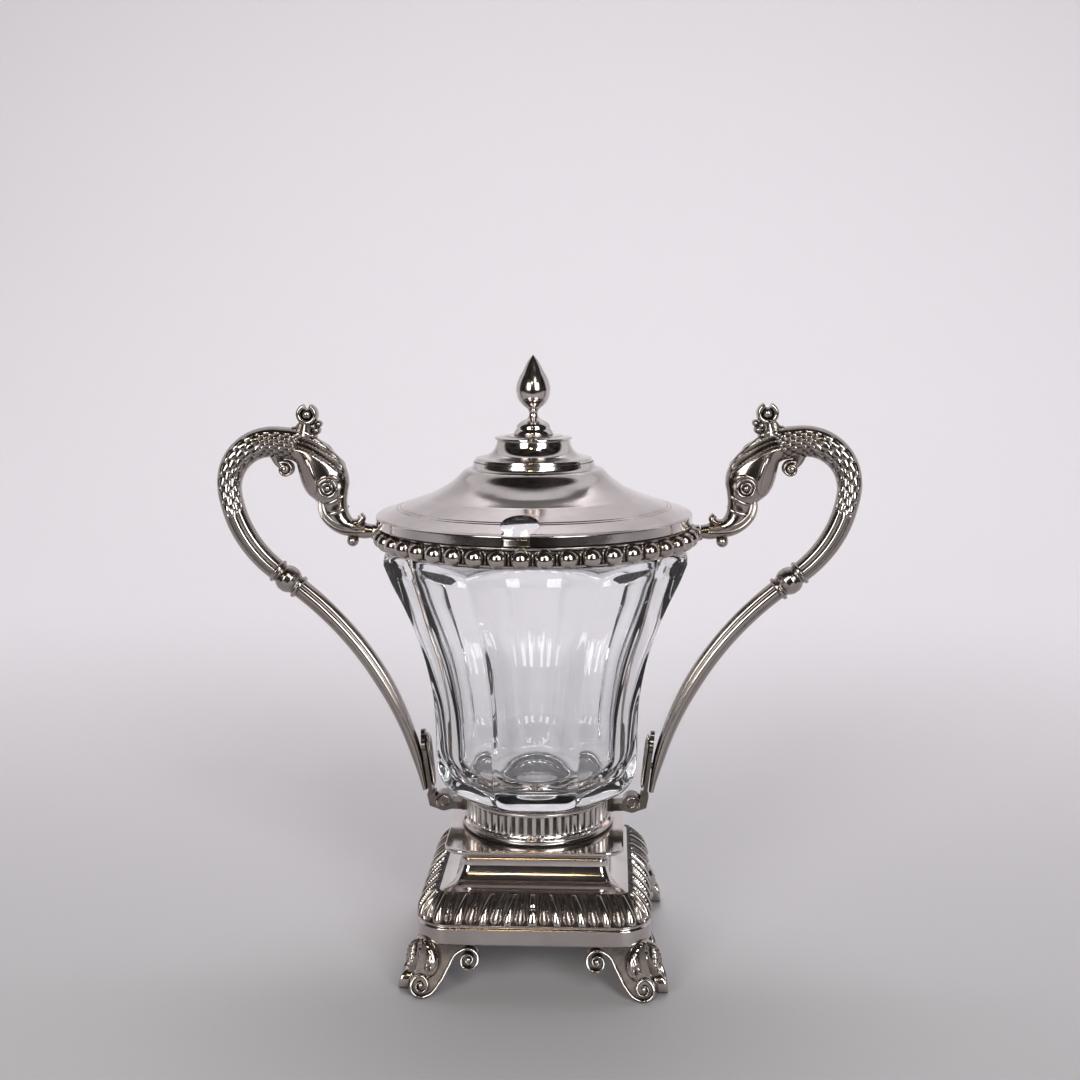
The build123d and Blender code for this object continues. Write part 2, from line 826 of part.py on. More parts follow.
# Lower bar of the right handle, from the knop down to the bracket, with the knop on its top
knop_way = Vector(cos(radians(knop_angle)), 0, sin(radians(knop_angle)))
knop_middle = Vector(lug_reach + knop_x, 0, ring_z + knop_z)
knop_low = knop_middle - knop_way * knop_half
knop_high = knop_middle + knop_way * knop_half
bar_end = Vector(bracket_x + bar_tip_x, 0, bracket_z + bar_tip_rise)
with BuildLine(Plane.XZ) as bar_path:
    TangentArc(knop_low, bar_end, tangent=-knop_way)
bar_keys = ((0.0, bar_top), (0.45, bar_middle), (0.87, bar_foot), (1.0, bar_tip))
knop_levels = (
    (knop_ring, -knop_half),
    (knop_ring, -knop_half + knop_ring_width),
    (knop_waist, -knop_half + knop_ring_width),
    (0.8 * knop_radius, -0.55 * knop_radius),
    (knop_radius, -0.2 * knop_radius),
    (knop_radius, 0.2 * knop_radius),
    (0.8 * knop_radius, 0.55 * knop_radius),
    (knop_waist, knop_half - knop_ring_width),
    (knop_ring, knop_half - knop_ring_width),
    (knop_ring, knop_half),
)
knop_place = Plane(origin=knop_middle, x_dir=(0, 1, 0), z_dir=knop_way).location
with BuildPart() as handle_bar_right:
    add(faceted(knop_levels, small_facets).moved(knop_place))
    add(bent_bar(bar_path.line, bar_keys, 0.0, 0.72, bar_depth, 8))
    add(bent_bar(bar_path.line, bar_keys, 0.7, 1.0, bar_foot_depth, 4))
    with BuildSketch(palmette_face):
        with Locations((0, palmette_height / 2)):
            Rectangle(4 * palmette_width, 3 * palmette_height)
    extrude(amount=palmette_thickness, mode=Mode.SUBTRACT)
    with BuildSketch(screw_plane):
        RegularPolygon(screw_shank + solder_gap, small_facets)
    extrude(amount=screw_length + slip_gap, mode=Mode.SUBTRACT)
save(handle_bar_right, "handle_bar_right")
save(mirrored(handle_bar_right, Plane.YZ), "handle_bar_left")

# Dolphin of the right handle: tail on the knop, back arched over, mouth on the lug
with BuildLine(Plane.XZ) as dolphin_path:
    calf = TangentArc(knop_high, Vector(lug_reach + calf_x, 0, ring_z + calf_z), tangent=knop_way)
    hip = TangentArc(calf @ 1, Vector(lug_reach + hip_x, 0, ring_z + hip_z), tangent=calf % 1)
    crown = TangentArc(hip @ 1, Vector(lug_reach + crown_x, 0, ring_z + crown_z), tangent=hip % 1)
    nape = TangentArc(crown @ 1, Vector(lug_reach + nape_x, 0, ring_z + nape_z), tangent=crown % 1)
    brow = Line(nape @ 1, Vector(lug_reach + brow_x, 0, ring_z + brow_z))
    FilletPolyline(
        brow @ 1,
        Vector(lug_reach + brow_x - 0.6, 0, ring_z),
        Vector(lug_reach, 0, ring_z),
        radius=mouth_radius,
    )
dolphin_keys = (
    (0.0, tail_width),
    (0.42, arm_width),
    (0.62, nape_width),
    (0.72, head_width),
    (0.83, snout_width),
    (0.96, lip_width),
    (1.0, mouth_width),
)
ball_spot = Vector(lug_reach + ball_x, 0, ring_z + ball_z)
ball_levels = (
    (ball_stalk, -ball_radius - 4.0),
    (ball_stalk, -0.9 * ball_radius),
    (0.7 * ball_radius, -0.7 * ball_radius),
    (ball_radius, -0.25 * ball_radius),
    (ball_radius, 0.25 * ball_radius),
    (0.7 * ball_radius, 0.7 * ball_radius),
    (ball_stalk, ball_radius),
)
with BuildPart() as dolphin_right:
    add(bent_bar(dolphin_path.line, dolphin_keys, 0.0, 0.45, arm_depth_low, 10))
    add(bent_bar(dolphin_path.line, dolphin_keys, 0.43, 0.63, arm_depth_high, 5))
    add(bent_bar(dolphin_path.line, dolphin_keys, 0.58, 0.82, head_depth, 6))
    add(bent_bar(dolphin_path.line, dolphin_keys, 0.79, 0.95, snout_depth, 5))
    add(bent_bar(dolphin_path.line, dolphin_keys, 0.93, 1.0, mouth_depth, 3))
    add(faceted(ball_levels, small_facets).moved(Location(ball_spot)))
    with BuildSketch(Plane.XZ):
        with Locations((lug_reach + eye_x, ring_z + eye_z)):
            RegularPolygon(eye_radius, small_facets)
    extrude(amount=head_depth / 2 + eye_stand, both=True)
    with BuildSketch(Plane.XZ):
        with Locations((lug_reach + fin_x, ring_z + fin_z)):
            RegularPolygon(fin_radius, small_facets)
    extrude(amount=fin_depth / 2, both=True)
    with BuildSketch(Plane.XZ):
        with Locations((lug_reach + chin_x, ring_z + chin_z)):
            RegularPolygon(chin_radius, small_facets)
    extrude(amount=mouth_depth / 2, both=True)
save(dolphin_right, "dolphin_right")
save(mirrored(dolphin_right, Plane.YZ), "dolphin_left")
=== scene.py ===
# A mustard pot: cut glass in a silver mount, on a square gadrooned stand, with two dolphin handles
import math
import bmesh
import bpy
import numpy as np
from mathutils import Matrix, Vector


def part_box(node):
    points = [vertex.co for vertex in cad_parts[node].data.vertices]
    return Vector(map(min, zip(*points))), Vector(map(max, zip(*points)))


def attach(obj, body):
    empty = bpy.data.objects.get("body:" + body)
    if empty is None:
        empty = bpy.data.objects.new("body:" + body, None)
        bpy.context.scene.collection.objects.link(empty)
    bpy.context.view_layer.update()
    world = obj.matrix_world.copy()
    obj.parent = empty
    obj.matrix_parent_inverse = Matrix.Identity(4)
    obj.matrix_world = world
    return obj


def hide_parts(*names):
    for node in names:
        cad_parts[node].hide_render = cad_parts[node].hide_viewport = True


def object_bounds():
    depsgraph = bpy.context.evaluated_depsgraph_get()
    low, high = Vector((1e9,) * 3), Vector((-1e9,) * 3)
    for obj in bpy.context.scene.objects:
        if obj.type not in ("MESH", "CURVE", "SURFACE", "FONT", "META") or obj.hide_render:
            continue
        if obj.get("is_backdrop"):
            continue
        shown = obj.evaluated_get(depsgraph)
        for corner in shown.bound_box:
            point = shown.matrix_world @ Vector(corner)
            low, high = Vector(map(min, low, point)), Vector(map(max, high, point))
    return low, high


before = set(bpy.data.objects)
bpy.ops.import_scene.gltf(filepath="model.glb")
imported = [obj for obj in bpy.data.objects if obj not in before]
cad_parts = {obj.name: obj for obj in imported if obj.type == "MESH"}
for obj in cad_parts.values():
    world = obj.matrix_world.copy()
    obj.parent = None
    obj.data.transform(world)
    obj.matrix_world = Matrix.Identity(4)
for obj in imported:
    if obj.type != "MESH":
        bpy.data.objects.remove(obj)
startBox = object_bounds()

mm = 0.001
turn = 2 * math.pi


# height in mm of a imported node's lowest (0) or highest (1) point
def seam(node, end):
    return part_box(node)[end][2] / mm


# heights of the seams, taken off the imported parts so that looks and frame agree
level = {
    "apron": seam("apron_band", 0), "border": seam("gadroon_border", 0),
    "waist": seam("plinth_waist", 0), "plate": seam("plinth_plate", 0),
    "collar": seam("plinth_plate", 1), "collarTop": seam("fluted_collar", 1),
    "rimTop": seam("beaded_rim", 1), "neckSeat": seam("beaded_rim", 1) - 8.4,
    "cap": seam("lid_cover", 1), "tip": seam("finial", 1),
}
level["bead"] = level["neckSeat"] + 2.8
level["shoulder"] = level["neckSeat"] - 2.5
level["belly"] = level["collarTop"] + 0.3
print("frame read", {k: round(v, 2) for k, v in level.items()})


# Shapes from grids. All of them are in mm.

# a smooth rise from 0 to 1 between two values: 3 s^2 - 2 s^3
def ease(value, low, high):
    s = np.clip((value - low) / (high - low), 0, 1)
    return s * s * (3 - 2 * s)


# a bell of height 1 round a middle: e to the minus ((value - middle) / width)^2
def hump(value, middle, width):
    return np.exp(-(((value - middle) / width) ** 2))


# a half ellipse of height 1 over a share from -1 to 1: the root of 1 - share^2
def arch(share):
    return np.sqrt(np.clip(1 - share**2, 0, 1))


# each cell of a grid of points is one face, and the last column joins the first where it closes
def grid(points, dark=0.0, closeColumns=True):
    rows, columns = points.shape[:2]
    index = np.arange(rows * columns).reshape(rows, columns)
    if closeColumns:
        index = np.hstack([index, index[:, :1]])
    corners = [index[:-1, :-1], index[1:, :-1], index[1:, 1:], index[:-1, 1:]]
    shade = np.broadcast_to(np.asarray(dark, float), (rows, columns))
    faces = np.stack(corners, -1).reshape(-1, 4)
    return {"points": points.reshape(-1, 3), "faces": faces, "dark": shade.reshape(-1)}


# patches laid end to end in one list of points and faces
def bundle(patches):
    starts = np.cumsum([0] + [len(p["points"]) for p in patches])
    return {
        "points": np.concatenate([p["points"] for p in patches]),
        "faces": np.concatenate([p["faces"] + s for p, s in zip(patches, starts)]),
        "dark": np.concatenate([p["dark"] for p in patches]),
    }


# the same patch set down at many places: point = place + across * x + along * y + out * z
def scattered(patch, places, across, along, out):
    p = patch["points"][None]
    points = places[:, None] + across[:, None] * p[..., :1]
    points = points + along[:, None] * p[..., 1:2] + out[:, None] * p[..., 2:]
    starts = np.arange(len(places)) * p.shape[1]
    faces = patch["faces"][None] + starts[:, None, None]
    dark = np.tile(patch["dark"], len(places))
    return {"points": points.reshape(-1, 3), "faces": faces.reshape(-1, 4), "dark": dark}


# the patch seen in a mirror through the middle: one coordinate changes its sign
def mirrored(patch, axis=0):
    points = patch["points"].copy()
    points[:, axis] *= -1
    return {"points": points, "faces": patch["faces"][:, ::-1], "dark": patch["dark"]}


# the patch moved by a shift
def moved(patch, shift):
    return {**patch, "points": patch["points"] + np.array(shift)}


# value at s of the cubic pieces through (t, p), whose slopes are the weighted means of the chords
def cubic(t, p, s):
    t, p, s = (np.asarray(value, float) for value in (t, p, s))
    flat = p.ndim == 1
    if flat:
        p = p[:, None]
    h = np.diff(t)[:, None]
    chord = np.diff(p, axis=0) / h
    between = (chord[:-1] * h[1:] + chord[1:] * h[:-1]) / (h[1:] + h[:-1])
    slope = np.vstack([chord[:1], between, chord[-1:]])
    i = np.clip(np.searchsorted(t, s, side="right") - 1, 0, len(t) - 2)
    w = h[i]
    u = np.clip((s - t[i])[:, None] / w, 0, 1)
    value = (2 * u**3 - 3 * u**2 + 1) * p[i] + (u**3 - 2 * u**2 + u) * w * slope[i]
    value += (3 * u**2 - 2 * u**3) * p[i + 1] + (u**3 - u**2) * w * slope[i + 1]
    return value[:, 0] if flat else value


# length run along a line up to each of its points: the sum of its steps
def runOf(line):
    return np.concatenate([[0], np.cumsum(np.linalg.norm(np.diff(line, axis=0), axis=1))])


# direction of a line at each of its points: the difference of its neighbours, made one long
def directionOf(line):
    d = np.gradient(line, axis=0)
    return d / np.maximum(np.linalg.norm(d, axis=-1, keepdims=True), 1e-9)


# a smooth curve through the given rows, spaced evenly by length
def throughPoints(rows, count):
    p = np.asarray(rows, float)
    step = np.linalg.norm(np.diff(p, axis=0), axis=1) ** 0.5
    t = np.concatenate([[0], np.cumsum(step)])
    dense = cubic(t, p, np.linspace(0, t[-1], 40 * len(p)))
    run = runOf(dense)
    even = np.linspace(0, run[-1], count)
    return np.stack([np.interp(even, run, dense[:, k]) for k in range(p.shape[1])], -1)


# extra points on a line so that no two are further apart than a step
def spaced(line, step):
    parts = []
    for a, b in zip(line[:-1], line[1:]):
        count = max(2, int(np.linalg.norm(b - a) / step) + 1)
        parts.append(np.linspace(a, b, count, endpoint=False))
    return np.vstack(parts + [line[-1:]])


# a broken line of (x, z, radius) whose corners are rounded: a corner gives way to the quadratic
# through the two points where its arc would touch, (1-s)^2 a + 2 s (1-s) b + s^2 c
def filleted(rows, step=0.25):
    rows = [tuple(r) + (0.0,) * (3 - len(r)) for r in rows]
    s = np.linspace(0, 1, 7)[:, None]
    out = [np.array(rows[0][:2])]
    for before, here, after in zip(rows[:-2], rows[1:-1], rows[2:]):
        a, b, c = (np.array(row[:2]) for row in (before, here, after))
        radius = here[2]
        back, ahead = np.linalg.norm(a - b), np.linalg.norm(c - b)
        u, v = (a - b) / back, (c - b) / ahead
        half = math.acos(np.clip(u @ v, -1, 1)) / 2
        if radius < 1e-6 or half > 1.55:  # a corner left sharp, or no corner at all
            out.append(b)
            continue
        reach = min(radius / math.tan(half), 0.48 * back, 0.48 * ahead)
        out.extend((1 - s) ** 2 * (b + u * reach) + 2 * s * (1 - s) * b + s**2 * (b + v * reach))
    out.append(np.array(rows[-1][:2]))
    return spaced(np.array(out), step)


# a function of two runs as an array over the whole grid, and zeros where there is none
def spread(function, first, second):
    flat = 0.0 * first * second
    return flat if function is None else function(first, second) + flat


# rings with a point at each end: the middle of the end ring, repeated
def capped(rings):
    first = rings[:1].mean(1, keepdims=True).repeat(rings.shape[1], 1)
    last = rings[-1:].mean(1, keepdims=True).repeat(rings.shape[1], 1)
    return np.concatenate([first, rings, last])


# a profile (radius, height) turned about the vertical, moved out along its own normal by relief
# at (angle, length run): x = r cos t, y = r sin t
def turned(profile, columns=288, relief=None, dark=None):
    t = np.arange(columns)[None] * turn / columns
    run = runOf(profile)[:, None]
    d = directionOf(profile)
    push = spread(relief, t, run)
    r = profile[:, :1] + d[:, 1:] * push
    z = profile[:, 1:] - d[:, :1] * push
    return grid(np.stack([r * np.cos(t), r * np.sin(t), z], -1), spread(dark, t, run))


# a profile (half width, height, corner radius) carried round a square with rounded corners: one
# straight side and its quarter circle, moved out along the profile's normal by relief at
# (length run round, length run up), then turned by quarters
def aroundSquare(profile, sideSteps, arcSteps, relief=None, dark=None):
    half, z, corner = (profile[:, k:k + 1] for k in range(3))
    u = np.concatenate([np.linspace(-1, 1, sideSteps), np.ones(arcSteps)])[None]
    a = np.linspace(0, math.pi / 2, arcSteps + 2)[1:-1]
    a = np.concatenate([np.zeros(sideSteps), a])[None]
    reach = half - corner + corner * np.cos(a)
    slide = (half - corner) * u + corner * np.sin(a)
    widest = int(np.argmax(profile[:, 0]))
    girth = runOf(np.stack([reach[widest], slide[widest]], -1))
    around = (girth - girth[sideSteps - 1] / 2)[None]
    up = runOf(profile[:, :2])[:, None]
    d = directionOf(profile[:, :2])
    push = spread(relief, around, up)
    x = reach + np.cos(a) * d[:, 1:] * push
    y = slide + np.sin(a) * d[:, 1:] * push
    height = z - d[:, :1] * push
    sides = []
    for quarter in range(4):
        c, s = math.cos(quarter * turn / 4), math.sin(quarter * turn / 4)
        sides.append(np.stack([x * c - y * s, x * s + y * c, height], -1))
    return grid(np.concatenate(sides, 1), np.tile(spread(dark, around, up), (1, 4)))


# rings across a path: a ring's point is path + side * w |cos|^(2/p) + up * d |sin|^(2/p), and
# relief lifts it away from the path at (length run, angle); the ends close to a point
def tubeAlong(path, wide, deep, sides=14, up=(0, 1, 0), power=2.0, relief=None, dark=None):
    path = np.asarray(path, float)
    wide, deep = (np.broadcast_to(value, len(path))[:, None] for value in (wide, deep))
    d = directionOf(path)
    side = np.cross(d, np.asarray(up, float))
    side /= np.linalg.norm(side, axis=1, keepdims=True)
    rise = np.cross(side, d)
    a = np.arange(sides)[None] * turn / sides
    c, s = np.cos(a), np.sin(a)
    run = runOf(path)[:, None]
    push = spread(relief, run, a)
    x = np.sign(c) * np.abs(c) ** (2 / power) * wide + c * push
    y = np.sign(s) * np.abs(s) ** (2 / power) * deep + s * push
    points = path[:, None] + side[:, None] * x[..., None] + rise[:, None] * y[..., None]
    return grid(capped(points), np.pad(spread(dark, run, a), ((1, 1), (0, 0)), "edge"))


# a thin wire through points: its radius falls away at both ends as the root of 1 - s^6
def wire(points, radius, count=40, sides=8, up=(0, 1, 0), taper=1.0):
    s = np.linspace(-1, 1, count)
    r = np.maximum(radius * (1 - taper * np.abs(s) ** 6) ** 0.5, 0.02)
    return tubeAlong(throughPoints(points, count), r, r, sides, up)


# a ball from rings of latitude: (sin u cos v, sin u sin v, cos u), stretched and moved
def ball(middle, radius, rings=16, columns=24, stretch=(1, 1, 1)):
    u = np.linspace(0, math.pi, rings)[:, None]
    v = np.arange(columns)[None] * turn / columns
    points = np.stack([np.sin(u) * np.cos(v), np.sin(u) * np.sin(v), np.cos(u) + 0 * v], -1)
    return grid(points * radius * np.array(stretch) + np.array(middle, float))


mergeGap = 0.004  # mm, points nearer than this become one


# a mesh object in metres from a patch in mm: doubled points on seams and poles are merged, the
# normals turned outward, and edges sharper than an angle in degrees kept crisp
def makePiece(name, patch, material, body="pot", sharp=40, stands=None):
    points, faces = patch["points"] * mm, patch["faces"]
    mesh = bpy.data.meshes.new(name)
    mesh.vertices.add(len(points))
    mesh.vertices.foreach_set("co", points.astype(np.float32).ravel())
    mesh.loops.add(faces.size)
    mesh.loops.foreach_set("vertex_index", faces.astype(np.int32).ravel())
    mesh.polygons.add(len(faces))
    mesh.polygons.foreach_set("loop_start", np.arange(0, faces.size, 4, dtype=np.int32))
    mesh.update(calc_edges=True)
    # the dark mask becomes the recess attribute: painted shade and sulphide in the hollows
    recess = mesh.attributes.new("recess", "FLOAT", "POINT")
    recess.data.foreach_set("value", patch["dark"].astype(np.float32))
    shape = bmesh.new()
    shape.from_mesh(mesh)
    bmesh.ops.remove_doubles(shape, verts=shape.verts, dist=mergeGap * mm)
    bmesh.ops.recalc_face_normals(shape, faces=shape.faces)
    shape.to_mesh(mesh)
    shape.free()
    mesh.shade_smooth()
    mesh.set_sharp_from_angle(angle=math.radians(sharp))
    mesh.materials.append(material)
    obj = bpy.data.objects.new(name, mesh)
    bpy.context.scene.collection.objects.link(obj)
    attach(obj, body)
    if stands:
        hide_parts(stands)
    print("piece", name, len(mesh.polygons))
    return obj


# a piece on the right and its mirror image on the left
def makePair(name, patch, material, sharp, stands=None):
    for hand, half in (("Right", patch), ("Left", mirrored(patch))):
        node = f"{stands}_{hand.lower()}" if stands else None
        makePiece(name + hand, half, material, sharp=sharp, stands=node)


# Materials

# a material that uses nodes, with its tree and its shader
def newMaterial(name):
    material = bpy.data.materials.new(name)
    material.use_nodes = True
    return material, material.node_tree, material.node_tree.nodes["Principled BSDF"]


# fills a node's sockets: a plain value is set, and a (node, output) pair is linked in
def fillSockets(tree, node, sockets):
    for key, value in sockets.items():
        if isinstance(value, tuple) and isinstance(value[0], bpy.types.Node):
            tree.links.new(value[0].outputs[value[1]], node.inputs[key])
        else:
            node.inputs[key].default_value = value


# a shader node of a kind, with its own settings and its sockets filled
def addNode(tree, kind, sockets=None, **settings):
    node = tree.nodes.new("ShaderNode" + kind)
    for key, value in settings.items():
        setattr(node, key, value)
    fillSockets(tree, node, sockets or {})
    return node


# soft noise at a place, as an output for another node's socket, like the three that follow
def noise(tree, where, scale, detail, roughness=0.5):
    sockets = {"Vector": where, "Scale": scale, "Detail": detail, "Roughness": roughness}
    return addNode(tree, "TexNoise", sockets), "Fac"


# a value carried from one range to another, evenly or with a smooth start and end
def mapRange(tree, value, source, target=(0.0, 1.0), kind="LINEAR"):
    sockets = {"Value": value, "From Min": source[0], "From Max": source[1]}
    sockets.update({"To Min": target[0], "To Max": target[1]})
    return addNode(tree, "MapRange", sockets, interpolation_type=kind), "Result"


# a at factor 0, b at factor 1
def mixed(tree, factor, a, b, kind="RGBA"):
    return addNode(tree, "Mix", {"Factor": factor, "A": a, "B": b}, data_type=kind), "Result"


# two values put through one sum
def combined(tree, operation, a, b, clamp=False):
    return addNode(tree, "Math", {0: a, 1: b}, operation=operation, use_clamp=clamp), "Value"


# the dark colour stands both for sulphide in hollows and for painted shade there
silverLook = {
    "bright": (0.66, 0.62, 0.60, 1), "tarnish": (0.36, 0.29, 0.26, 1), "dark": (0.020, 0.015, 0.012, 1),
    "smooth": 0.085, "dull": 0.20, "rough": 0.55,
    "cover": 0.5,  # how far tarnish takes over in its patches
    "hollowOxideAndShade": 0.55,  # how dark a hollow goes, as sulphide and as painted shade by ambient occlusion
    "scale": 1.0, "patches": 48.0, "scratches": 420.0, "hollow": 0.0022, "scratchDepth": 0.0004,
}


# silver: a warm bright metal. Tarnish from a broad noise tints and dulls it, what lies in a recess
# or a hollow goes dark, as sulphide and as painted shade (the recess mask and ambient occlusion),
# broken up by a fine noise, and the fine noise is the bump
def makeSilver(name, changes):
    look = {**silverLook, **changes}
    material, tree, shader = newMaterial(name)
    where = addNode(tree, "TexCoord"), "Object"
    broad = noise(tree, where, look["patches"] * look["scale"], 4.0, 0.6)
    fine = noise(tree, where, look["scratches"] * look["scale"], 5.0, 0.65)
    patch = mapRange(tree, broad, (0.42, 0.74), (0.0, look["cover"]))
    speck = mapRange(tree, fine, (0.35, 0.7), (0.82, 1.0))
    # painted shade with the sulphide: the recess mask and ambient occlusion darken the hollows
    recess = addNode(tree, "Attribute", attribute_name="recess"), "Fac"
    cover = addNode(tree, "AmbientOcclusion", {"Distance": look["hollow"]}, samples=8), "AO"
    hidden = mapRange(tree, cover, (0.78, 0.28), (0.0, look["hollowOxideAndShade"]))
    deepest = combined(tree, "MAXIMUM", recess, hidden)
    oxideAndShade = combined(tree, "MULTIPLY", deepest, speck, clamp=True)
    tint = mixed(tree, patch, look["bright"], look["tarnish"])
    dull = mapRange(tree, broad, (0.35, 0.75), (look["smooth"], look["dull"]))
    bump = addNode(tree, "Bump", {"Strength": 0.05, "Distance": look["scratchDepth"], "Height": fine})
    fillSockets(tree, shader, {
        "Base Color": mixed(tree, oxideAndShade, tint, look["dark"]),
        "Roughness": mixed(tree, oxideAndShade, dull, look["rough"], kind="FLOAT"),
        "Metallic": 1.0, "Normal": (bump, "Normal"),
    })
    return material


silver = makeSilver("silverPolished", {})
silverOld = makeSilver("silverOxidised", {
    "bright": (0.54, 0.50, 0.47, 1), "smooth": 0.11, "cover": 0.8, "hollowOxideAndShade": 1.0,
})
silverCast = makeSilver("silverCast", {
    "bright": (0.42, 0.385, 0.36, 1), "smooth": 0.13, "cover": 0.7, "hollowOxideAndShade": 1.0,
})
# painted shadow: a silver darkened almost to black so that the brackets and screws look shaded
silverPaintedShadow = makeSilver("silverPaintedShadow", {
    "bright": (0.17, 0.15, 0.135, 1), "smooth": 0.2, "cover": 0.9, "hollowOxideAndShade": 1.0, "scale": 2.0,
})

# clear glass with the faintest haze in patches
glassClear, glassTree, glassShader = newMaterial("glassClear")
glassHaze = noise(glassTree, (addNode(glassTree, "TexCoord"), "Object"), 60.0, 3.0)
fillSockets(glassTree, glassShader, {
    "Base Color": (0.975, 0.98, 0.99, 1), "Transmission Weight": 1.0, "IOR": 1.50,
    "Roughness": mapRange(glassTree, glassHaze, (0.3, 0.8), (0.0, 0.012)),
})
print("materials made")


# Base

standLook = {"half": 33.85, "corner": 9.5, "plateHalf": 26.1, "plateCorner": 6.0}


# profile rows of a square piece: the corner's radius is less by what the half width is less, so
# that its middle stays in place
def cornered(rows, half, corner, step=0.3):
    line = filleted(rows, step)
    return np.column_stack([line, np.maximum(corner - (half - line[:, 0]), 0.4)])


wallHalf, wallCorner = standLook["half"], standLook["corner"]
apronRows = [
    (30.5, level["apron"]), (wallHalf, level["apron"], 0.7), (wallHalf, level["border"] - 1.2, 0.5),
    (wallHalf - 0.5, level["border"] - 0.7, 0.3), (wallHalf - 0.3, level["border"] - 0.05, 0.2),
    (31.0, level["border"]),
]
apronBand = aroundSquare(cornered(apronRows, wallHalf, wallCorner), 60, 26)
makePiece("apronBand", apronBand, silver, stands="apron_band")

borderLook = {
    "units": 18, "tall": 1.25, "loop": 0.85, "seed": 0.62, "shift": 2.7,
    "bedFoot": 33.1, "bedRise": 7.4, "bedIn": 5.2, "bedBulge": 0.9,
    "margins": (2.0, 1.9),  # bare bed below and above the gadroons
    "step": 0.2, "sideSteps": 225, "arcSteps": 70,
}
bedShare = np.linspace(0, 1, 19)
bedCurve = np.column_stack([
    borderLook["bedFoot"] - borderLook["bedIn"] * bedShare**1.25
    + borderLook["bedBulge"] * np.sin(math.pi * bedShare),
    level["border"] + borderLook["bedRise"] * bedShare,
])
bedRows = np.vstack([[(31.0, level["border"])], bedCurve, [(26.0, level["waist"])]])
bedLine = cornered(bedRows, wallHalf, wallCorner, borderLook["step"])
bedLow = borderLook["margins"][0]
bedHigh = runOf(bedLine[:, :2])[-1] - borderLook["margins"][1]


# gadroons: the run round one side and half of each corner is cut in units; the middle one is a
# bud, even ones are drops and odd ones open loops, and their tails lean towards the middle. The
# height is h(x, v), with x across a unit and v up the bed: an arch over a drop, or a wall along
# an open loop with a seed in it
def gadroonHeight(around, up):
    arc = math.pi / 2 * wallCorner
    side = 2 * (wallHalf - wallCorner) + arc
    pitch = side / borderLook["units"]
    g = np.where(around > side / 2, around - side, around) + 0 * up
    v = np.clip((up - bedLow) / (bedHigh - bedLow), 0, 1) + 0 * around
    reach = np.abs(g) / pitch
    lean = borderLook["shift"] * ease(reach, 0, 2) * (1 - ease(reach, 6, 9))
    c = g + np.sign(g) * lean * v**1.6
    unit = np.round(c / pitch)
    x = np.abs(c - unit * pitch) / pitch
    odd = np.abs(unit) % 2 == 1
    bud = unit == 0
    foot = np.clip(v / 0.16, 0, 1)
    drop = np.where(bud, 0.56, 0.46) * (1 - 0.60 * v**0.75) * arch(1 - foot) + 0.01
    loop = 0.56 * (1 - 0.55 * v**0.9) * foot**0.7 + 0.01
    pinch = 1 - 0.35 * hump(v, 0.52, 0.07) * bud
    solid = borderLook["tall"] * (1 - 0.45 * v) * arch(x / drop) * pinch
    wall = borderLook["loop"] * hump(x / loop, 0.74, 0.20)
    seed = borderLook["seed"] * arch(x / (0.34 * loop)) * (1 - ease(v, 0.45, 0.8))
    ends = ease(v, 0.015, 0.06) * (1 - ease(v, 0.93, 1.0))
    return np.where(odd, np.maximum(wall, seed), solid) * ends


# painted shade and sulphide where the height is near nothing, from just below the gadroons upward
def gadroonDark(around, up):
    low = 1 - ease(gadroonHeight(around, up), 0.10, 0.52)
    return low * ease(up, bedLow - 0.4, bedLow + 0.2)


border = aroundSquare(
    bedLine, borderLook["sideSteps"], borderLook["arcSteps"], gadroonHeight, gadroonDark
)
makePiece("gadroonBorder", border, silverOld, stands="gadroon_border", sharp=70)

# the waist: two hollow quarter ellipses that meet at the neck, then the plate on top
waistLook = {"foot": 27.25, "neck": 21.0, "neckShare": 0.6, "flare": 3.7, "corner": 2.4}
neckZ = level["waist"] + waistLook["neckShare"] * (level["plate"] - level["waist"])
q = np.linspace(0, 1, 12) * math.pi / 2
lowCurve = np.column_stack([
    waistLook["foot"] - (waistLook["foot"] - waistLook["neck"]) * np.sin(q) ** 0.9,
    level["waist"] + (neckZ - level["waist"]) * (1 - np.cos(q)) ** 0.85,
])
q = np.linspace(0.1, 1, 9) * math.pi / 2
highCurve = np.column_stack([
    waistLook["neck"] + waistLook["flare"] * (1 - np.cos(q)),
    neckZ + (level["plate"] - neckZ) * np.sin(q),
])
waistFoot, waistTop = (26.0, level["waist"]), (22.0, level["plate"])
waistLine = spaced(np.vstack([waistFoot, lowCurve, highCurve, waistTop]), 0.35)
waistRows = np.column_stack([waistLine, np.full(len(waistLine), waistLook["corner"])])
waist = aroundSquare(waistRows, 50, 14)
makePiece("plinthWaist", waist, silver, stands="plinth_waist", sharp=50)

plateHalf = standLook["plateHalf"]
plateRows = [
    (0.5, level["plate"]), (plateHalf, level["plate"], 0.45),
    (plateHalf, level["collar"], 0.45), (0.5, level["collar"]),
]
plate = aroundSquare(cornered(plateRows, plateHalf, standLook["plateCorner"], 0.8), 40, 18)
makePiece("plinthPlate", plate, silver, stands="plinth_plate")


# Collar

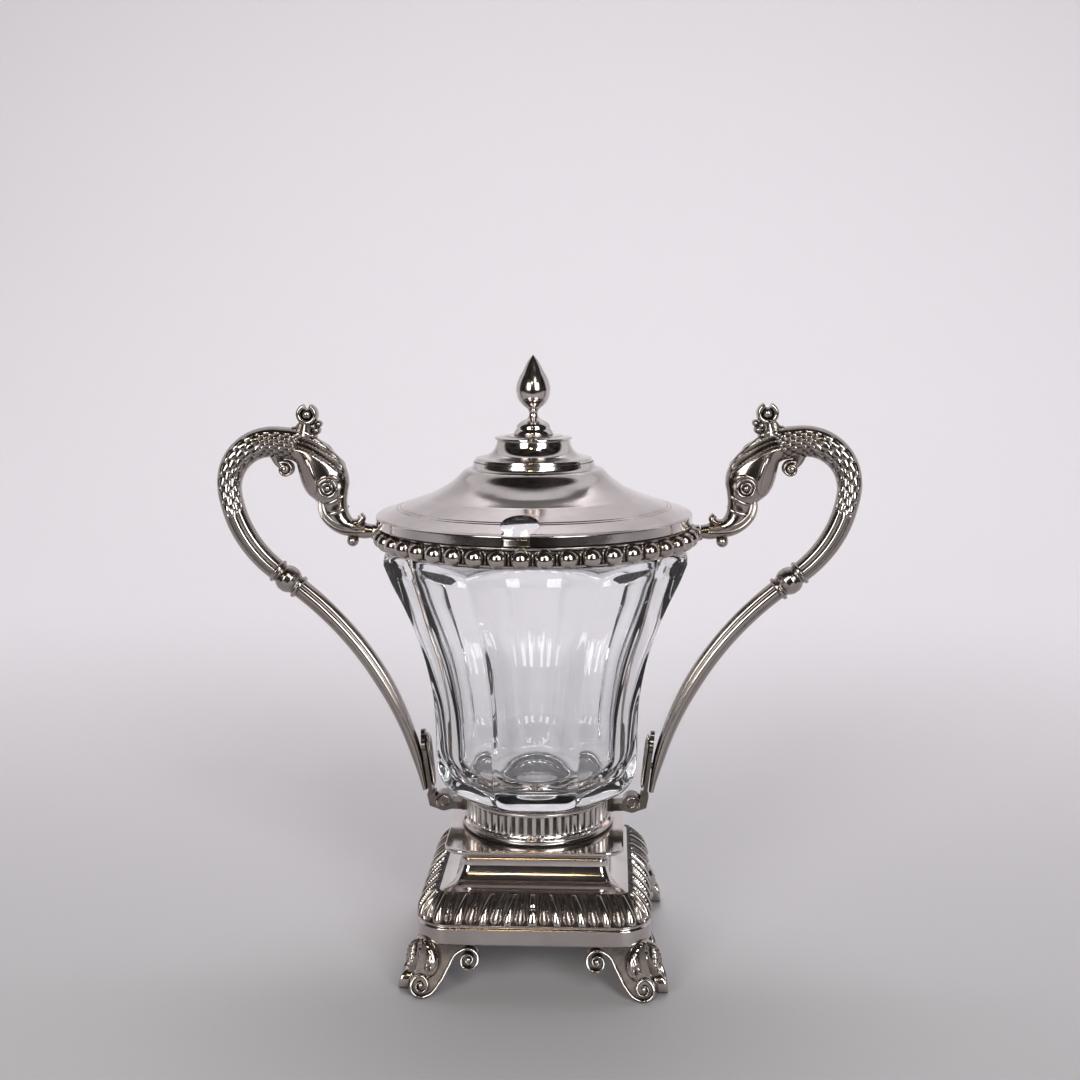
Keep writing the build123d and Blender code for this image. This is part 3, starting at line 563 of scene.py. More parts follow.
collarLook = {"flutes": 54, "radius": 21.55, "depth": 0.75, "crown": 0.12, "step": 0.42}
collarZ, collarTop = level["collar"], level["collarTop"]
flutesLow, flutesTop = collarZ + 2.6, collarTop - 1.1
collarRows = filleted([
    (12, collarZ), (22.0, collarZ, 0.3), (22.9, collarZ + 0.7, 0.6), (22.75, collarZ + 1.9, 0.5),
    (21.7, collarZ + 2.3, 0.2), (collarLook["radius"], collarZ + 2.7, 0.1),
    (collarLook["radius"], collarTop - 1.0, 0.1), (22.1, collarTop - 0.8, 0.2),
    (22.1, collarTop - 0.1, 0.25), (19.4, collarTop, 0.1), (19.3, collarZ + 2.0),
], collarLook["step"])


# 1 where the flutes stand on the collar's outer wall, with a short rise at both ends
def collarMask(run):
    z = collarRows[:, 1]
    mask = ease(z, flutesLow, flutesLow + 0.35) * (1 - ease(z, flutesTop - 0.35, flutesTop))
    return np.interp(run, runOf(collarRows), mask * (collarRows[:, 0] > 20.5))


# the gap between two flutes: a dip where the angle's share of a flute passes its width
def fluteDip(t, run):
    share = np.abs((t * collarLook["flutes"] / turn) % 1 - 0.5) * 2
    return ease(share, 0.46, 0.74) * collarMask(run)


# flutes with round faces: the dip, and a low cosine across each
def fluteRelief(t, run):
    crown = collarLook["crown"] * np.cos(t * collarLook["flutes"]) * collarMask(run)
    return crown - collarLook["depth"] * fluteDip(t, run)


# the dip also paints the gaps between flutes dark: painted shade and sulphide
collar = turned(collarRows, collarLook["flutes"] * 10, fluteRelief, fluteDip)
makePiece("flutedCollar", collar, silver, stands="fluted_collar", sharp=50)


# Glass

glassLook = {
    "facets": 8, "soft": 240.0, "bladeSoft": 110.0, "yaw": 1.9, "hollow": 0.95,
    "belly": 14.0, "floor": 5.4, "basin": 10.0, "arches": 3.2,
    "blankFoot": (21.09, 11.0), "blankMouth": (42.2, 5.1),  # radius, and what an arch adds to it
}
facetKeys = [  # height over the belly's foot, and half the width across the flats
    (0, 22.4), (1.6, 25.0), (4.5, 27.5), (9.0, 29.1), (14.0, 29.6), (22.9, 29.75), (31, 30.2),
    (41, 31.9), (50.5, 34.6), (59.9, 38.2), (67, 41.4), (level["shoulder"] - level["belly"], 43.7),
]


# outline of the cut glass at a height: eight flats, r = a / (sum of cos^p)^(1/p), never outside
# the round blank, both joined softly
def glassRadius(t, apothem, blank):
    soft, blade = glassLook["soft"], glassLook["bladeSoft"]
    share = np.zeros_like(t * apothem)
    for k in range(glassLook["facets"]):
        share += np.clip(np.cos(t - k * turn / glassLook["facets"]), 0, 1) ** soft
    flat = apothem / share ** (1 / soft)
    return (flat**-blade + blank**-blade) ** (-1 / blade)


# the liner: foot, hollow facets that arch at the shoulder, neck, bore and a round basin. Columns
# crowd towards the facets' edges, and a facet is hollow by a parabola across it
def makeGlass():
    base, shoulder, seat = level["belly"], level["shoulder"], level["neckSeat"]
    belly = glassLook["belly"]
    arches = shoulder - glassLook["arches"]  # where the flats begin to run out in arches
    heights = np.concatenate([
        base + belly * (1 - np.cos(np.linspace(0, math.pi / 2, 40))),
        np.linspace(base + belly + 0.3, base + 23, 16),
        np.linspace(base + 23.5, arches, 50),
        arches + (seat - arches - 0.05) * np.sin(np.linspace(0.08, math.pi / 2, 20)),
    ])
    keyZ, keyHalf = np.array(facetKeys).T
    apothem = cubic(base + keyZ, keyHalf, heights)
    facet = math.pi / glassLook["facets"]
    drop = np.clip((base + belly - heights) / belly, 0, 1)
    high = np.clip((heights - arches) / (seat - arches), 0, 1)
    lowBlank = glassLook["blankFoot"][0] + glassLook["blankFoot"][1] * arch(drop)
    topBlank = glassLook["blankMouth"][0] + glassLook["blankMouth"][1] * arch(high)
    blank = np.where(heights < base + belly, lowBlank, apothem / math.cos(facet) + 0.02)
    blank = np.minimum(blank, topBlank + (high == 0))
    u = np.linspace(-1, 1, 33)[:-1]
    t = np.arange(glassLook["facets"])[:, None] * 2 * facet + facet * (1.5 * u - 0.5 * u**3)[None]
    t = t.reshape(1, -1)
    outer = glassRadius(t, apothem[:, None], blank[:, None])
    cut = np.clip((heights - base) / 8, 0, 1) * np.clip((seat - heights) / 8, 0, 1)
    fromMiddle = (np.mod(t + facet, 2 * facet) - facet) / facet
    outer = outer - glassLook["hollow"] * cut[:, None] * (1 - fromMiddle**2)
    foot = np.array([
        (0, level["collar"] + 1.7), (17.6, level["collar"] + 1.7), (18.5, level["collar"] + 2.4),
        (18.6, base - 1.0), (19.0, base - 0.1), (20.6, base - 0.02),
    ])
    neck = filleted([
        (40.8, seat), (40.8, seat + 6.0, 0.8), (37.5, seat + 6.0, 0.8), (37.6, seat, 2.0),
        (37.2, shoulder - 3),
    ], 0.5)
    floor, basin = base + glassLook["floor"], glassLook["basin"]
    boreR = cubic([0, 0.2, 0.45, 0.7, 1.0], [25.5, 26.4, 29.2, 33.4, 37.2], np.linspace(1, 0, 50))
    bore = np.column_stack([boreR, np.linspace(shoulder - 3, floor + basin, 50)])
    a = np.linspace(0, math.pi / 2, 20)
    bowl = np.column_stack([15.5 + basin * np.cos(a), floor + basin - basin * np.sin(a)])
    inner = np.vstack([neck, bore, bowl, [(r, floor) for r in (12, 8, 4, 0)]])
    shape = (1, t.shape[1])
    r = np.vstack([np.tile(foot[:, :1], shape), outer, outer[-1:] - 0.4, np.tile(inner[:, :1], shape)])
    z = np.concatenate([foot[:, 1], heights, [seat], inner[:, 1]])[:, None]
    t = t + math.radians(glassLook["yaw"])
    return grid(np.stack([r * np.cos(t), r * np.sin(t), z + 0 * t], -1))


makePiece("glassLiner", makeGlass(), glassClear, stands="glass_liner", sharp=26)


# Beaded rim

beadLook = {
    "count": 45, "radius": 2.72, "circle": 45.36, "phase": -92.1,
    "dart": (3.6, 0.7, 0.6), "dartCircle": 45.35, "bedDark": 0.95,
}
seat, rim = level["neckSeat"], level["rimTop"]
rimRows = filleted([
    (41.3, seat), (44.9, seat, 0.2), (45.7, seat + 0.5, 0.3), (45.75, seat + 1.0, 0.3),
    (45.0, seat + 1.5, 0.3), (44.75, seat + 4.6, 0.3), (45.2, seat + 5.2, 0.3),
    (45.3, seat + 5.7, 0.3), (44.7, seat + 6.2, 0.2), (44.55, rim - 0.5, 0.3), (44.0, rim, 0.3),
    (42.2, rim, 0.3), (42.0, rim - 0.6, 0.2), (42.0, seat + 7.0), (41.3, seat + 7.0),
], 0.3)


# painted shade and sulphide on the bed of the beads only: 1 between two heights on the outer wall
def bedDark(t, run):
    r, z = rimRows.T
    bed = (z > seat + 0.9) & (z < seat + 5.2) & (r > 44.5)
    return beadLook["bedDark"] * np.interp(run, runOf(rimRows), bed.astype(float))


# a ball's cap standing on its bed, with a raised cup edge round it: a profile turned about z
def beadShape(radius):
    u = np.linspace(0, math.pi * 0.56, 14)
    dome = np.column_stack([radius * np.sin(u), radius * np.cos(u)])
    cup = [(radius * 0.99, -0.75), (radius + 0.12, -0.55), (radius + 0.30, -0.62), (radius + 0.42, -1.3)]
    rows = np.vstack([dome, cup])
    a = np.arange(24)[None] * turn / 24
    # the bead's foot and the cup's foot are painted dark: shade and sulphide where they meet the bed
    shade = np.concatenate([np.zeros(len(dome) - 1), [0.9, 1.0, 0.1, 0.2, 0.8]])[:, None]
    r, z = rows[:, :1], rows[:, 1:]
    return grid(np.stack([r * np.cos(a), r * np.sin(a), z + 0 * a], -1), shade)


# the dart between two beads: a raised tongue whose width and height go to nothing at both ends
def dartShape(length, width, height):
    v = np.linspace(-1, 1, 10)[:, None]
    u = np.linspace(-1, 1, 7)[None]
    across = width / 2 * np.sqrt(np.clip(1 - v**6, 0, 1)) * u
    lift = height * (1 - u**2) ** 0.55 * np.clip(1 - v**8, 0, 1) ** 0.5
    points = np.stack([across, v * length / 2 + 0 * u, lift], -1)
    # the dart's edges are painted a little dark: shade and sulphide where it meets the bed
    return grid(points, 0.25 * np.abs(u) ** 6 + 0 * v, closeColumns=False)


# a patch set down at even angles round the rim, its z outward and its y upward
def roundTheRim(patch, circle, phase):
    a = np.radians(phase + np.arange(beadLook["count"]) * 360 / beadLook["count"])
    out = np.stack([np.cos(a), np.sin(a), 0 * a], -1)
    across = np.stack([-np.sin(a), np.cos(a), 0 * a], -1)
    up = np.tile([0, 0, 1.0], (len(a), 1))
    return scattered(patch, out * circle + up * level["bead"], across, up, out)


lugPath = [(44.5, 0, level["bead"]), (46.5, 0, level["bead"] + 0.1), (48.3, 0, level["bead"] + 0.5)]
lug = tubeAlong(
    throughPoints(lugPath, 12), np.linspace(2.8, 2.3, 12), np.linspace(2.6, 2.2, 12), 20, power=2.6
)
beads = roundTheRim(beadShape(beadLook["radius"]), beadLook["circle"], beadLook["phase"])
darts = roundTheRim(dartShape(*beadLook["dart"]), beadLook["dartCircle"], beadLook["phase"] + 4.0)
rimBand = turned(rimRows, 360, dark=bedDark)
rimParts = bundle([rimBand, beads, darts, lug, mirrored(lug)])
makePiece("beadedRim", rimParts, silverOld, stands="beaded_rim", sharp=60)


# Lid

lidLook = {
    "radius": 46.3, "slope": 19, "offset": (-0.6, 0, 0), "turn": -2.3, "lineDepth": 0.26,
    "lines": (40.1, 39.1), "notchRadius": 5.3, "notchAt": -40.0, "slotMiddle": -0.5, "slotHalf": 3.8,
}
edge = rim + 0.7


# height of the lid's straight cone at a radius: it rises inward with an even slope
def coneAt(r):
    return edge + (lidLook["radius"] - r) * math.tan(math.radians(lidLook["slope"]))


# an engraved line at a radius: a small v in the cone
def engraved(r):
    d = lidLook["lineDepth"]
    return [(r + d, coneAt(r + d)), (r, coneAt(r) - d), (r - d, coneAt(r - d))]


# points of the cone at some radii
def onCone(*radii):
    return [(r, coneAt(r)) for r in radii]


trumpetFoot = coneAt(31.0)
trumpet = throughPoints([
    (31.0, trumpetFoot), (26.8, trumpetFoot + 2.2), (23.0, trumpetFoot + 4.9),
    (20.2, trumpetFoot + 7.6), (18.2, edge + 13.6), (17.6, level["cap"]),
], 40)
lidEdge = filleted([
    (46.3, rim - 2.05), (46.35, rim + 0.55, 0.35), (45.6, edge + 0.35, 0.3), (45.2, coneAt(45.2)),
], 0.3)
lines = engraved(lidLook["lines"][0]) + engraved(lidLook["lines"][1])
outerLine = np.vstack([lidEdge, onCone(44.0, 42.0), lines, onCone(37, 35, 33), trumpet])
innerLine = np.vstack([
    trumpet[::-1] - (0.62, 0.35), (36.0, coneAt(36.0) - 0.75), (45.0, coneAt(45.0) - 0.72),
    (45.6, rim + 0.1), (45.6, rim - 2.05),
])
lidLine = np.vstack([outerLine, innerLine, outerLine[:1]])
lidPatch = turned(spaced(lidLine, 0.6), 310)
lid = makePiece("lidCover", lidPatch, silver, body="lid", stands="lid_cover", sharp=35)


# the keyhole that lets the spoon out: a slot to the edge and a round end, cut right through by a
# prism on that outline; then the lid is turned a little and shifted as it sits in the photograph
def cutNotch(obj):
    a = np.linspace(0.80 - math.pi / 2, 1.5 * math.pi - 0.80, 64)
    radius, middle, half = lidLook["notchRadius"], lidLook["slotMiddle"], lidLook["slotHalf"]
    bow = np.column_stack([radius * np.cos(a), lidLook["notchAt"] + radius * np.sin(a)])
    left, right = middle - half, middle + half
    outline = np.vstack([bow, [(left, -44.6), (left, -52), (right, -52), (right, -44.6)]])
    n = len(outline)
    floors = [np.column_stack([outline, np.full(n, z)]) * mm for z in (rim - 6, rim + 12)]
    ring = np.arange(n)
    sides = np.stack([ring, (ring + 1) % n, (ring + 1) % n + n, ring + n], -1)
    ends = [list(range(n))[::-1], list(range(n, 2 * n))]
    mesh = bpy.data.meshes.new("notchTool")
    mesh.from_pydata(np.vstack(floors).tolist(), [], sides.tolist() + ends)
    shape = bmesh.new()
    shape.from_mesh(mesh)
    bmesh.ops.recalc_face_normals(shape, faces=shape.faces)
    shape.to_mesh(mesh)
    shape.free()
    tool = bpy.data.objects.new("notchTool", mesh)
    bpy.context.scene.collection.objects.link(tool)
    cut = obj.modifiers.new("notch", "BOOLEAN")
    cut.operation = "DIFFERENCE"
    cut.object = tool
    cut.solver = "EXACT"
    bpy.context.view_layer.update()
    seen = obj.evaluated_get(bpy.context.evaluated_depsgraph_get())
    finished = bpy.data.meshes.new_from_object(seen)
    obj.modifiers.clear()
    bpy.data.objects.remove(tool)
    shift = Matrix.Translation(Vector(lidLook["offset"]) * mm)
    finished.transform(shift @ Matrix.Rotation(math.radians(lidLook["turn"]), 4, "Z"))
    obj.data = finished
    finished.shade_smooth()
    finished.set_sharp_from_angle(angle=math.radians(35))


cutNotch(lid)

# the cap over the lid's hole: a rolled edge, a hollow quarter circle, two discs and a boss
capZ = level["cap"]
q = np.linspace(0, 1, 14)[1:-1] * math.pi / 2
hollow = np.column_stack([15.6 - 4.9 * np.sin(q), capZ + 1.35 + 4.9 * (1 - np.cos(q))])
capFoot = [
    (17.0, capZ - 0.2), (17.15, capZ + 0.1, 0.2), (17.0, capZ + 1.0, 0.4), (15.7, capZ + 1.3, 0.1),
]
capTop = [
    (10.6, capZ + 6.1, 0.1), (11.3, capZ + 6.5, 0.3), (11.2, capZ + 7.0, 0.3),
    (8.6, capZ + 7.35, 0.1), (8.4, capZ + 7.6, 0.1), (0.0, capZ + 7.7),
]
cap = moved(turned(filleted(capFoot + list(hollow) + capTop, 0.3), 240), lidLook["offset"])
makePiece("finialCap", cap, silver, body="lid", stands="finial_cap", sharp=38)

finialKeys = [  # radius and depth below the tip, from the foot's disc over the neck to the bud
    (5.55, 23.4), (5.75, 22.75), (5.45, 22.05), (4.95, 21.4), (4.85, 20.6), (4.35, 19.9),
    (3.2, 19.1), (1.95, 18.5), (1.45, 17.8), (1.32, 17.0), (1.45, 16.2), (1.87, 15.6),
    (3.02, 14.7), (4.17, 13.3), (4.83, 11.55), (5.0, 9.8), (4.65, 8.1), (3.95, 6.4), (3.0, 4.7),
    (2.14, 3.0), (1.2, 1.4), (0.0, 0.0),
]
finialLine = throughPoints([(r, level["tip"] - drop) for r, drop in finialKeys], 130)
finialLine = np.vstack([[(0.0, finialLine[0, 1])], finialLine])
finialLine[-1, 0] = 0.0
finial = moved(turned(finialLine, 96), lidLook["offset"])
makePiece("finialBud", finial, silver, body="lid", stands="finial", sharp=55)
print("lid made")


# Handles, in the plane of the handle: x outward, z upward

handleLook = {
    "knop": (74.35, 113.71), "lean": 38.5, "knopHalf": 4.6, "barEnd": (34.4, 48.7),
    "hip": (87.8, 128.6), "bend": (91.2, 139.0), "nape": (76.4, 154.75),
}
dolphinLook = {
    "sides": 104, "belt": 0.42,  # the share of the arm where its scales begin
    "large": (3.6, 3.9), "small": (6.5, 2.7),  # scales across a flank, and the run of one
    "scaleLift": 0.95, "ridge": 0.30, "groove": 0.42, "maneLift": 0.72, "maneFlutes": 3.6,
}
knopMiddle = np.array(handleLook["knop"])
knopLean = math.radians(handleLook["lean"])
knopWay = np.array([math.cos(knopLean), math.sin(knopLean)])


# arc through a start, along its direction, to an end: the circle that leaves along the direction,
# with radius chord^2 / (2 * the chord's part across it)
def arcFrom(start, way, end, count):
    start, way, end = (np.array(value, float) for value in (start, way, end))
    way /= np.linalg.norm(way)
    chord = end - start
    normal = np.array([-way[1], way[0]])
    side = chord @ normal
    radius = chord @ chord / (2 * side)
    sweep = 2 * math.atan2(side, chord @ way)
    a = np.linspace(0, sweep, count)[:, None]
    line = start + normal * radius + radius * (np.sin(a) * way - np.cos(a) * normal)
    return line, np.cos(sweep) * way + np.sin(sweep) * normal


knopTop = knopMiddle + knopWay * handleLook["knopHalf"]
calf, calfWay = arcFrom(knopTop, knopWay, handleLook["hip"], 40)
hip, hipWay = arcFrom(handleLook["hip"], calfWay, handleLook["bend"], 30)
crown, crownWay = arcFrom(handleLook["bend"], hipWay, handleLook["nape"], 60)
armLine = np.vstack([calf, hip[1:], crown[1:]])
armRun = runOf(armLine)
armLength = armRun[-1]
armKeys = np.array([  # share of the arm's length, width in the plane, depth across it
    (0, 6.3, 5.6), (0.15, 6.6, 5.7), (0.33, 7.1, 5.8), (0.55, 7.7, 6.4), (0.8, 8.5, 7.6), (1.0, 9.2, 8.4),
])
headKeys = np.array([  # outer x and z, inner x and z, depth, from the nape to the lip
    (71.4, 158.9, 72.2, 149.4, 8.8), (67.9, 158.2, 71.3, 149.0, 9.0),
    (64.0, 155.7, 70.6, 148.4, 9.4), (60.2, 152.5, 70.2, 146.6, 9.9),
    (57.2, 149.2, 69.8, 144.4, 10.0), (55.6, 145.8, 68.9, 141.6, 9.8),
    (55.2, 142.8, 67.4, 139.2, 9.2), (55.7, 139.8, 65.2, 137.4, 8.2),
    (56.0, 136.9, 63.6, 135.6, 7.2), (55.6, 133.9, 62.6, 132.4, 6.8),
    (54.4, 131.9, 60.6, 129.6, 6.4), (53.0, 131.3, 57.2, 127.6, 6.0),
    (51.4, 130.8, 52.6, 126.2, 5.0), (48.4, 130.2, 48.3, 126.3, 4.6),
])


# overlapping scales in two staggered layers: over one scale, with t from its free end and x
# across, the height is a quick rise, a slow fall and a half ellipse across; the taller one shows
def scaleRelief(along, around, period):
    height = 0 * along * around
    for layer in (0, 0.5):
        t = (along / period + layer) % 1
        x = (around + layer) % 1 - 0.5
        half = 0.42 * arch(1 - np.minimum(t / 0.30, 1)) + 0.01
        fall = np.clip(1 - t / 0.86, 0, 1) ** 0.55
        height = np.maximum(height, arch(x / half) * fall)
    return height


# the outline of the dolphin from the knop to the lip: outer line, inner line, half depth and the
# length run. The arm is its arc with a width, and the head runs through its own keys
def dolphinOutline():
    stations = np.concatenate([np.linspace(0, 0.30, 26), np.linspace(0.305, 1, 210)])
    s = stations * armLength
    centre = np.stack([np.interp(s, armRun, armLine[:, k]) for k in (0, 1)], -1)
    ahead = directionOf(centre)
    outward = np.stack([ahead[:, 1], -ahead[:, 0]], -1)
    armHalf = cubic(armKeys[:, 0], armKeys[:, 1:], stations) / 2
    armOuter = centre + outward * armHalf[:, :1]
    armInner = centre - outward * armHalf[:, :1]
    armOuter[:, 0] -= 0.55 * hump(armOuter[:, 1], 139, 12)  # the bend stays in the CAD box
    outerKeys = np.vstack([armOuter[-1:], headKeys[:, :2]])
    innerKeys = np.vstack([armInner[-1:], headKeys[:, 2:4]])
    headOuter = throughPoints(outerKeys, 190)
    headRun = runOf(headOuter)
    nearest = [np.argmin(np.linalg.norm(headOuter - key, axis=1)) for key in outerKeys]
    keyRun = headRun[nearest]
    keyRun[0], keyRun[-1] = 0, headRun[-1]
    headRun = headRun[1:]
    headDeep = cubic(keyRun, np.concatenate([[8.4], headKeys[:, 4]]), headRun) / 2
    outer = np.vstack([armOuter, headOuter[1:]])
    inner = np.vstack([armInner, cubic(keyRun, innerKeys, headRun)])
    deep = np.concatenate([armHalf[:, 1], headDeep])
    return outer, inner, deep, np.concatenate([s, s[-1] + headRun * 0.9])


# the dolphin's skin: rings between its two outlines, x = cos and y = |sin|^0.9, lifted by scales
# on the back, a ridge between grooves on the plain arm, and the flutes of the mane on the cheeks
def dolphin():
    outer, inner, deep, along = dolphinOutline()
    deep, along = deep[:, None], along[:, None]
    middle, reach = (outer + inner) / 2, (outer - inner) / 2
    half = np.linalg.norm(reach, axis=1)[:, None]
    a = np.arange(dolphinLook["sides"])[None] * turn / dolphinLook["sides"]
    c, s = np.cos(a), np.sin(a)
    flank = np.arccos(np.clip(c, -1, 1)) / math.pi
    belt = dolphinLook["belt"] * armLength
    largeRows, largeRun = dolphinLook["large"]
    smallRows, smallRun = dolphinLook["small"]
    nape = ease(along, armLength - 6.0, armLength - 4.0)
    large = scaleRelief(along - belt, flank * largeRows + 0.2, largeRun)
    small = scaleRelief(along, flank * smallRows, smallRun)
    scales = large * (1 - nape) + 0.75 * small * nape
    onBody = ease(along, belt - 1.2 * np.abs(s), belt + 0.8)
    onBody = onBody * (1 - ease(along, armLength + 5.5, armLength + 7.0))
    onBody = onBody * (1 - ease(c, 0.60, 0.76)) * (1 - 0.9 * ease(-c, 0.82, 0.94))
    plain = 1 - ease(along, 0.38 * armLength, 0.43 * armLength)
    groove = hump(np.abs(c), 0.36, 0.12)
    past = along - armLength
    brow = 0.055 * (past - 6)
    mane = ease(past, 5.5, 7.5) * (1 - ease(past, 20.0, 24.0))
    mane = mane * ease(c, -0.30 + brow, -0.12 + brow) * (1 - ease(c, 0.94, 0.99))
    flutes = np.cos((c * dolphinLook["maneFlutes"] - past * 0.16) * turn)
    push = onBody * (dolphinLook["scaleLift"] * scales - 0.55)
    push = push + plain * (dolphinLook["ridge"] * hump(c, 0, 0.16) - dolphinLook["groove"] * groove)
    push = push + mane * (dolphinLook["maneLift"] * flutes - 0.2)
    # painted shade and sulphide in the gaps between scales, in the arm's grooves and between mane flutes
    shade = onBody * (1 - ease(scales, 0.20, 0.62)) + plain * 0.55 * groove
    shade = shade + mane * ease(-flutes, -0.1, 0.6)
    x = c * (1 + push / np.maximum(half, 1))
    y = np.sign(s) * np.abs(s) ** 0.9 * (deep + push)
    plane = middle[:, None] + reach[:, None] * x[..., None]
    points = np.stack([plane[..., 0], y, plane[..., 1]], -1)
    return grid(capped(points), np.pad(np.clip(shade, 0, 1), ((1, 1), (0, 0)), "edge"))


# on each cheek: (x, depth, z) along the brow, the gill and the two lips, then radius and counts
cheekWires = [
    ([(57.2, 4.1, 144.0), (59.6, 4.55, 145.0), (62.3, 4.6, 144.6), (64.9, 3.9, 142.6)], 0.6, 30, 8),
    ([(67.2, 4.5, 150.8), (65.7, 4.8, 147.6), (64.7, 4.6, 144.0), (64.5, 3.8, 141.0),
      (65.4, 2.8, 139.2)], 0.85, 40, 10),
    ([(56.2, 3.1, 139.4), (58.4, 3.7, 138.0), (60.6, 3.6, 137.0), (62.6, 2.7, 136.9)], 0.55, 26, 8),
    ([(56.0, 2.8, 135.4), (58.2, 3.5, 134.4), (60.4, 3.4, 133.9), (62.0, 2.6, 134.2)], 0.6, 26, 8),
]
eyeLook = {"middle": (60.9, 4.55, 141.5), "radius": 0.95, "rings": ((1.5, 0.36), (2.6, 0.50))}
lipKeys = [
    (63.0, 138.2), (63.2, 136.0), (62.3, 133.2), (60.2, 130.9), (57.2, 129.3), (54.0, 128.9), (50.5, 128.9),
]


# (x, z) rows in the plane of the handle as (x, 0, z)
def inPlane(rows):
    return [(x, 0, z) for x, z in rows]


# the rolled lip is six ropes laid together: a cosine of six turns round it
def lipRopes(run, a):
    return 0.28 * np.cos(6 * a)


# painted shade and sulphide where two ropes meet
def lipDark(run, a):
    return 0.6 * ease(-np.cos(6 * a), 0.2, 0.9)


# the head's small parts: eye, its rings and the wires on both cheeks, the rolled lip with its tip,
# and the ball under the chin
def dolphinDetails():
    x, y, z = eyeLook["middle"]
    cheek = [ball(eyeLook["middle"], eyeLook["radius"], 12, 18, (1, 0.8, 1))]
    t = np.linspace(0, turn, 9)
    for reach, thick in eyeLook["rings"]:
        ring = [x + reach * np.cos(t), y + 0.4 - 0.14 * reach + 0 * t, z + reach * np.sin(t)]
        cheek.append(wire(np.column_stack(ring), thick, 48, 8, taper=0))
    cheek += [wire(*settings) for settings in cheekWires]
    share = np.linspace(0, 1, 70)
    lipWide = np.interp(share, [0, 0.15, 0.5, 0.85, 1], [0.9, 1.5, 1.9, 2.1, 1.6])
    lipDeep = np.interp(share, [0, 0.3, 1], [2.8, 3.7, 2.7])
    lipPath = throughPoints(inPlane(lipKeys), 70)
    tip = inPlane([(56.6, 130.4), (54.6, 130.5), (52.6, 130.9), (51.5, 132.1), (52.3, 133.2)])
    tipWide, tipDeep = np.linspace(1.7, 0.85, 40), np.linspace(2.6, 1.7, 40)
    return cheek + [mirrored(part, 1) for part in cheek] + [
        tubeAlong(lipPath, lipWide, lipDeep, 48, power=2.2, relief=lipRopes, dark=lipDark),
        tubeAlong(throughPoints(tip, 40), tipWide, tipDeep, 16, power=2.2),
        ball((54.6, 0, 125.4), 1.8, 14, 20, (1, 1.3, 1)),
        wire(inPlane([(55.2, 129.2), (54.9, 127.3), (54.6, 125.6)]), 1.35, 16, 12, taper=0),
    ]


crestLook = {"ring": (67.05, 162.88), "ringRadius": 2.45, "fin": (74.0, 146.7)}
leafBalls = (  # x, z, radius
    (63.6, 160.1, 1.05), (64.3, 158.2, 1.25), (65.6, 156.6, 1.35), (65.3, 159.4, 1.2), (71.2, 158.3, 1.1),
)


# leaves folded round the crest's trunk: seven lobes that wind as they climb
def leafRelief(run, a):
    return 0.30 * np.cos(7 * a + 0.8 * run)


# painted shade and sulphide between the lobes
def leafDark(run, a):
    return ease(-leafRelief(run, a), 0.0, 0.25)


# the ring over the nape on its leafy trunk, and the fin under the chin with a swirl on each face
def dolphinCrest():
    ringX, ringZ = crestLook["ring"]
    finX, finZ = crestLook["fin"]
    t = np.radians(np.linspace(112, 428, 60))
    radius = crestLook["ringRadius"]
    ring = np.column_stack([ringX + radius * np.cos(t), 0 * t, ringZ + radius * np.sin(t)])
    trunk = throughPoints(inPlane([(69.4, 154.8), (68.6, 157.4), (67.4, 160.4)]), 30)
    t = np.radians(np.linspace(60, 560, 70))
    reach = np.linspace(2.35, 0.7, 70)
    coil = np.column_stack([finX + reach * np.cos(t), 2.2 - 0.32 * reach, finZ + reach * np.sin(t)])
    swirl = tubeAlong(coil, 0.42, 0.55, 10)
    stem = throughPoints(inPlane([(76.6, 150.8), (76.0, 149.0), (75.0, 147.6)]), 16)
    wide, deep = np.linspace(3.4, 1.8, 30), np.linspace(3.4, 1.9, 30)
    return [ball((x, 0, z), r, 12, 18, (1, 1.7, 1)) for x, z, r in leafBalls] + [
        ball((ringX, 0, ringZ), 1.75, 14, 20, (1, 1.25, 1)),
        tubeAlong(ring, 0.80, 2.3, 16, power=2.8),
        tubeAlong(trunk, wide, deep, 40, relief=leafRelief, dark=leafDark),
        ball((finX, 0, finZ), 2.1, 16, 24, (1, 0.95, 1)),
        swirl, mirrored(swirl, 1),
        tubeAlong(stem, np.linspace(2.0, 1.2, 16), np.linspace(2.4, 1.8, 16), 16),
    ]


dolphinParts = bundle([dolphin()] + dolphinDetails() + dolphinCrest())
makePair("dolphin", dolphinParts, silverCast, 55, stands="dolphin")


# the lower bar, one long arc from the knop to the bracket: its flank stands up in a ridge between
# two grooves, which die away down the bar
def barRelief(run, a):
    c = np.cos(a)
    ridge = 0.26 * hump(c, 0, 0.18) - 0.40 * hump(np.abs(c), 0.40, 0.12)
    return ridge * np.clip(1.2 - run / 70, 0.25, 1)


# painted shade and sulphide in the two grooves
def barDark(run, a):
    return 0.45 * hump(np.abs(np.cos(a)), 0.40, 0.12)


barStart = knopMiddle - knopWay * handleLook["knopHalf"]
barLine, barWay = arcFrom(barStart, -knopWay, handleLook["barEnd"], 130)
share = np.linspace(0, 1, 130)
barWide = np.interp(share, [0, 0.5, 0.85, 1.0], [5.7, 5.2, 3.4, 1.5]) / 2
barDeep = np.interp(share, [0, 0.5, 0.85, 1.0], [5.4, 5.0, 3.8, 3.0]) / 2
bar = tubeAlong(inPlane(barLine), barWide, barDeep, 56, power=2.3, relief=barRelief, dark=barDark)

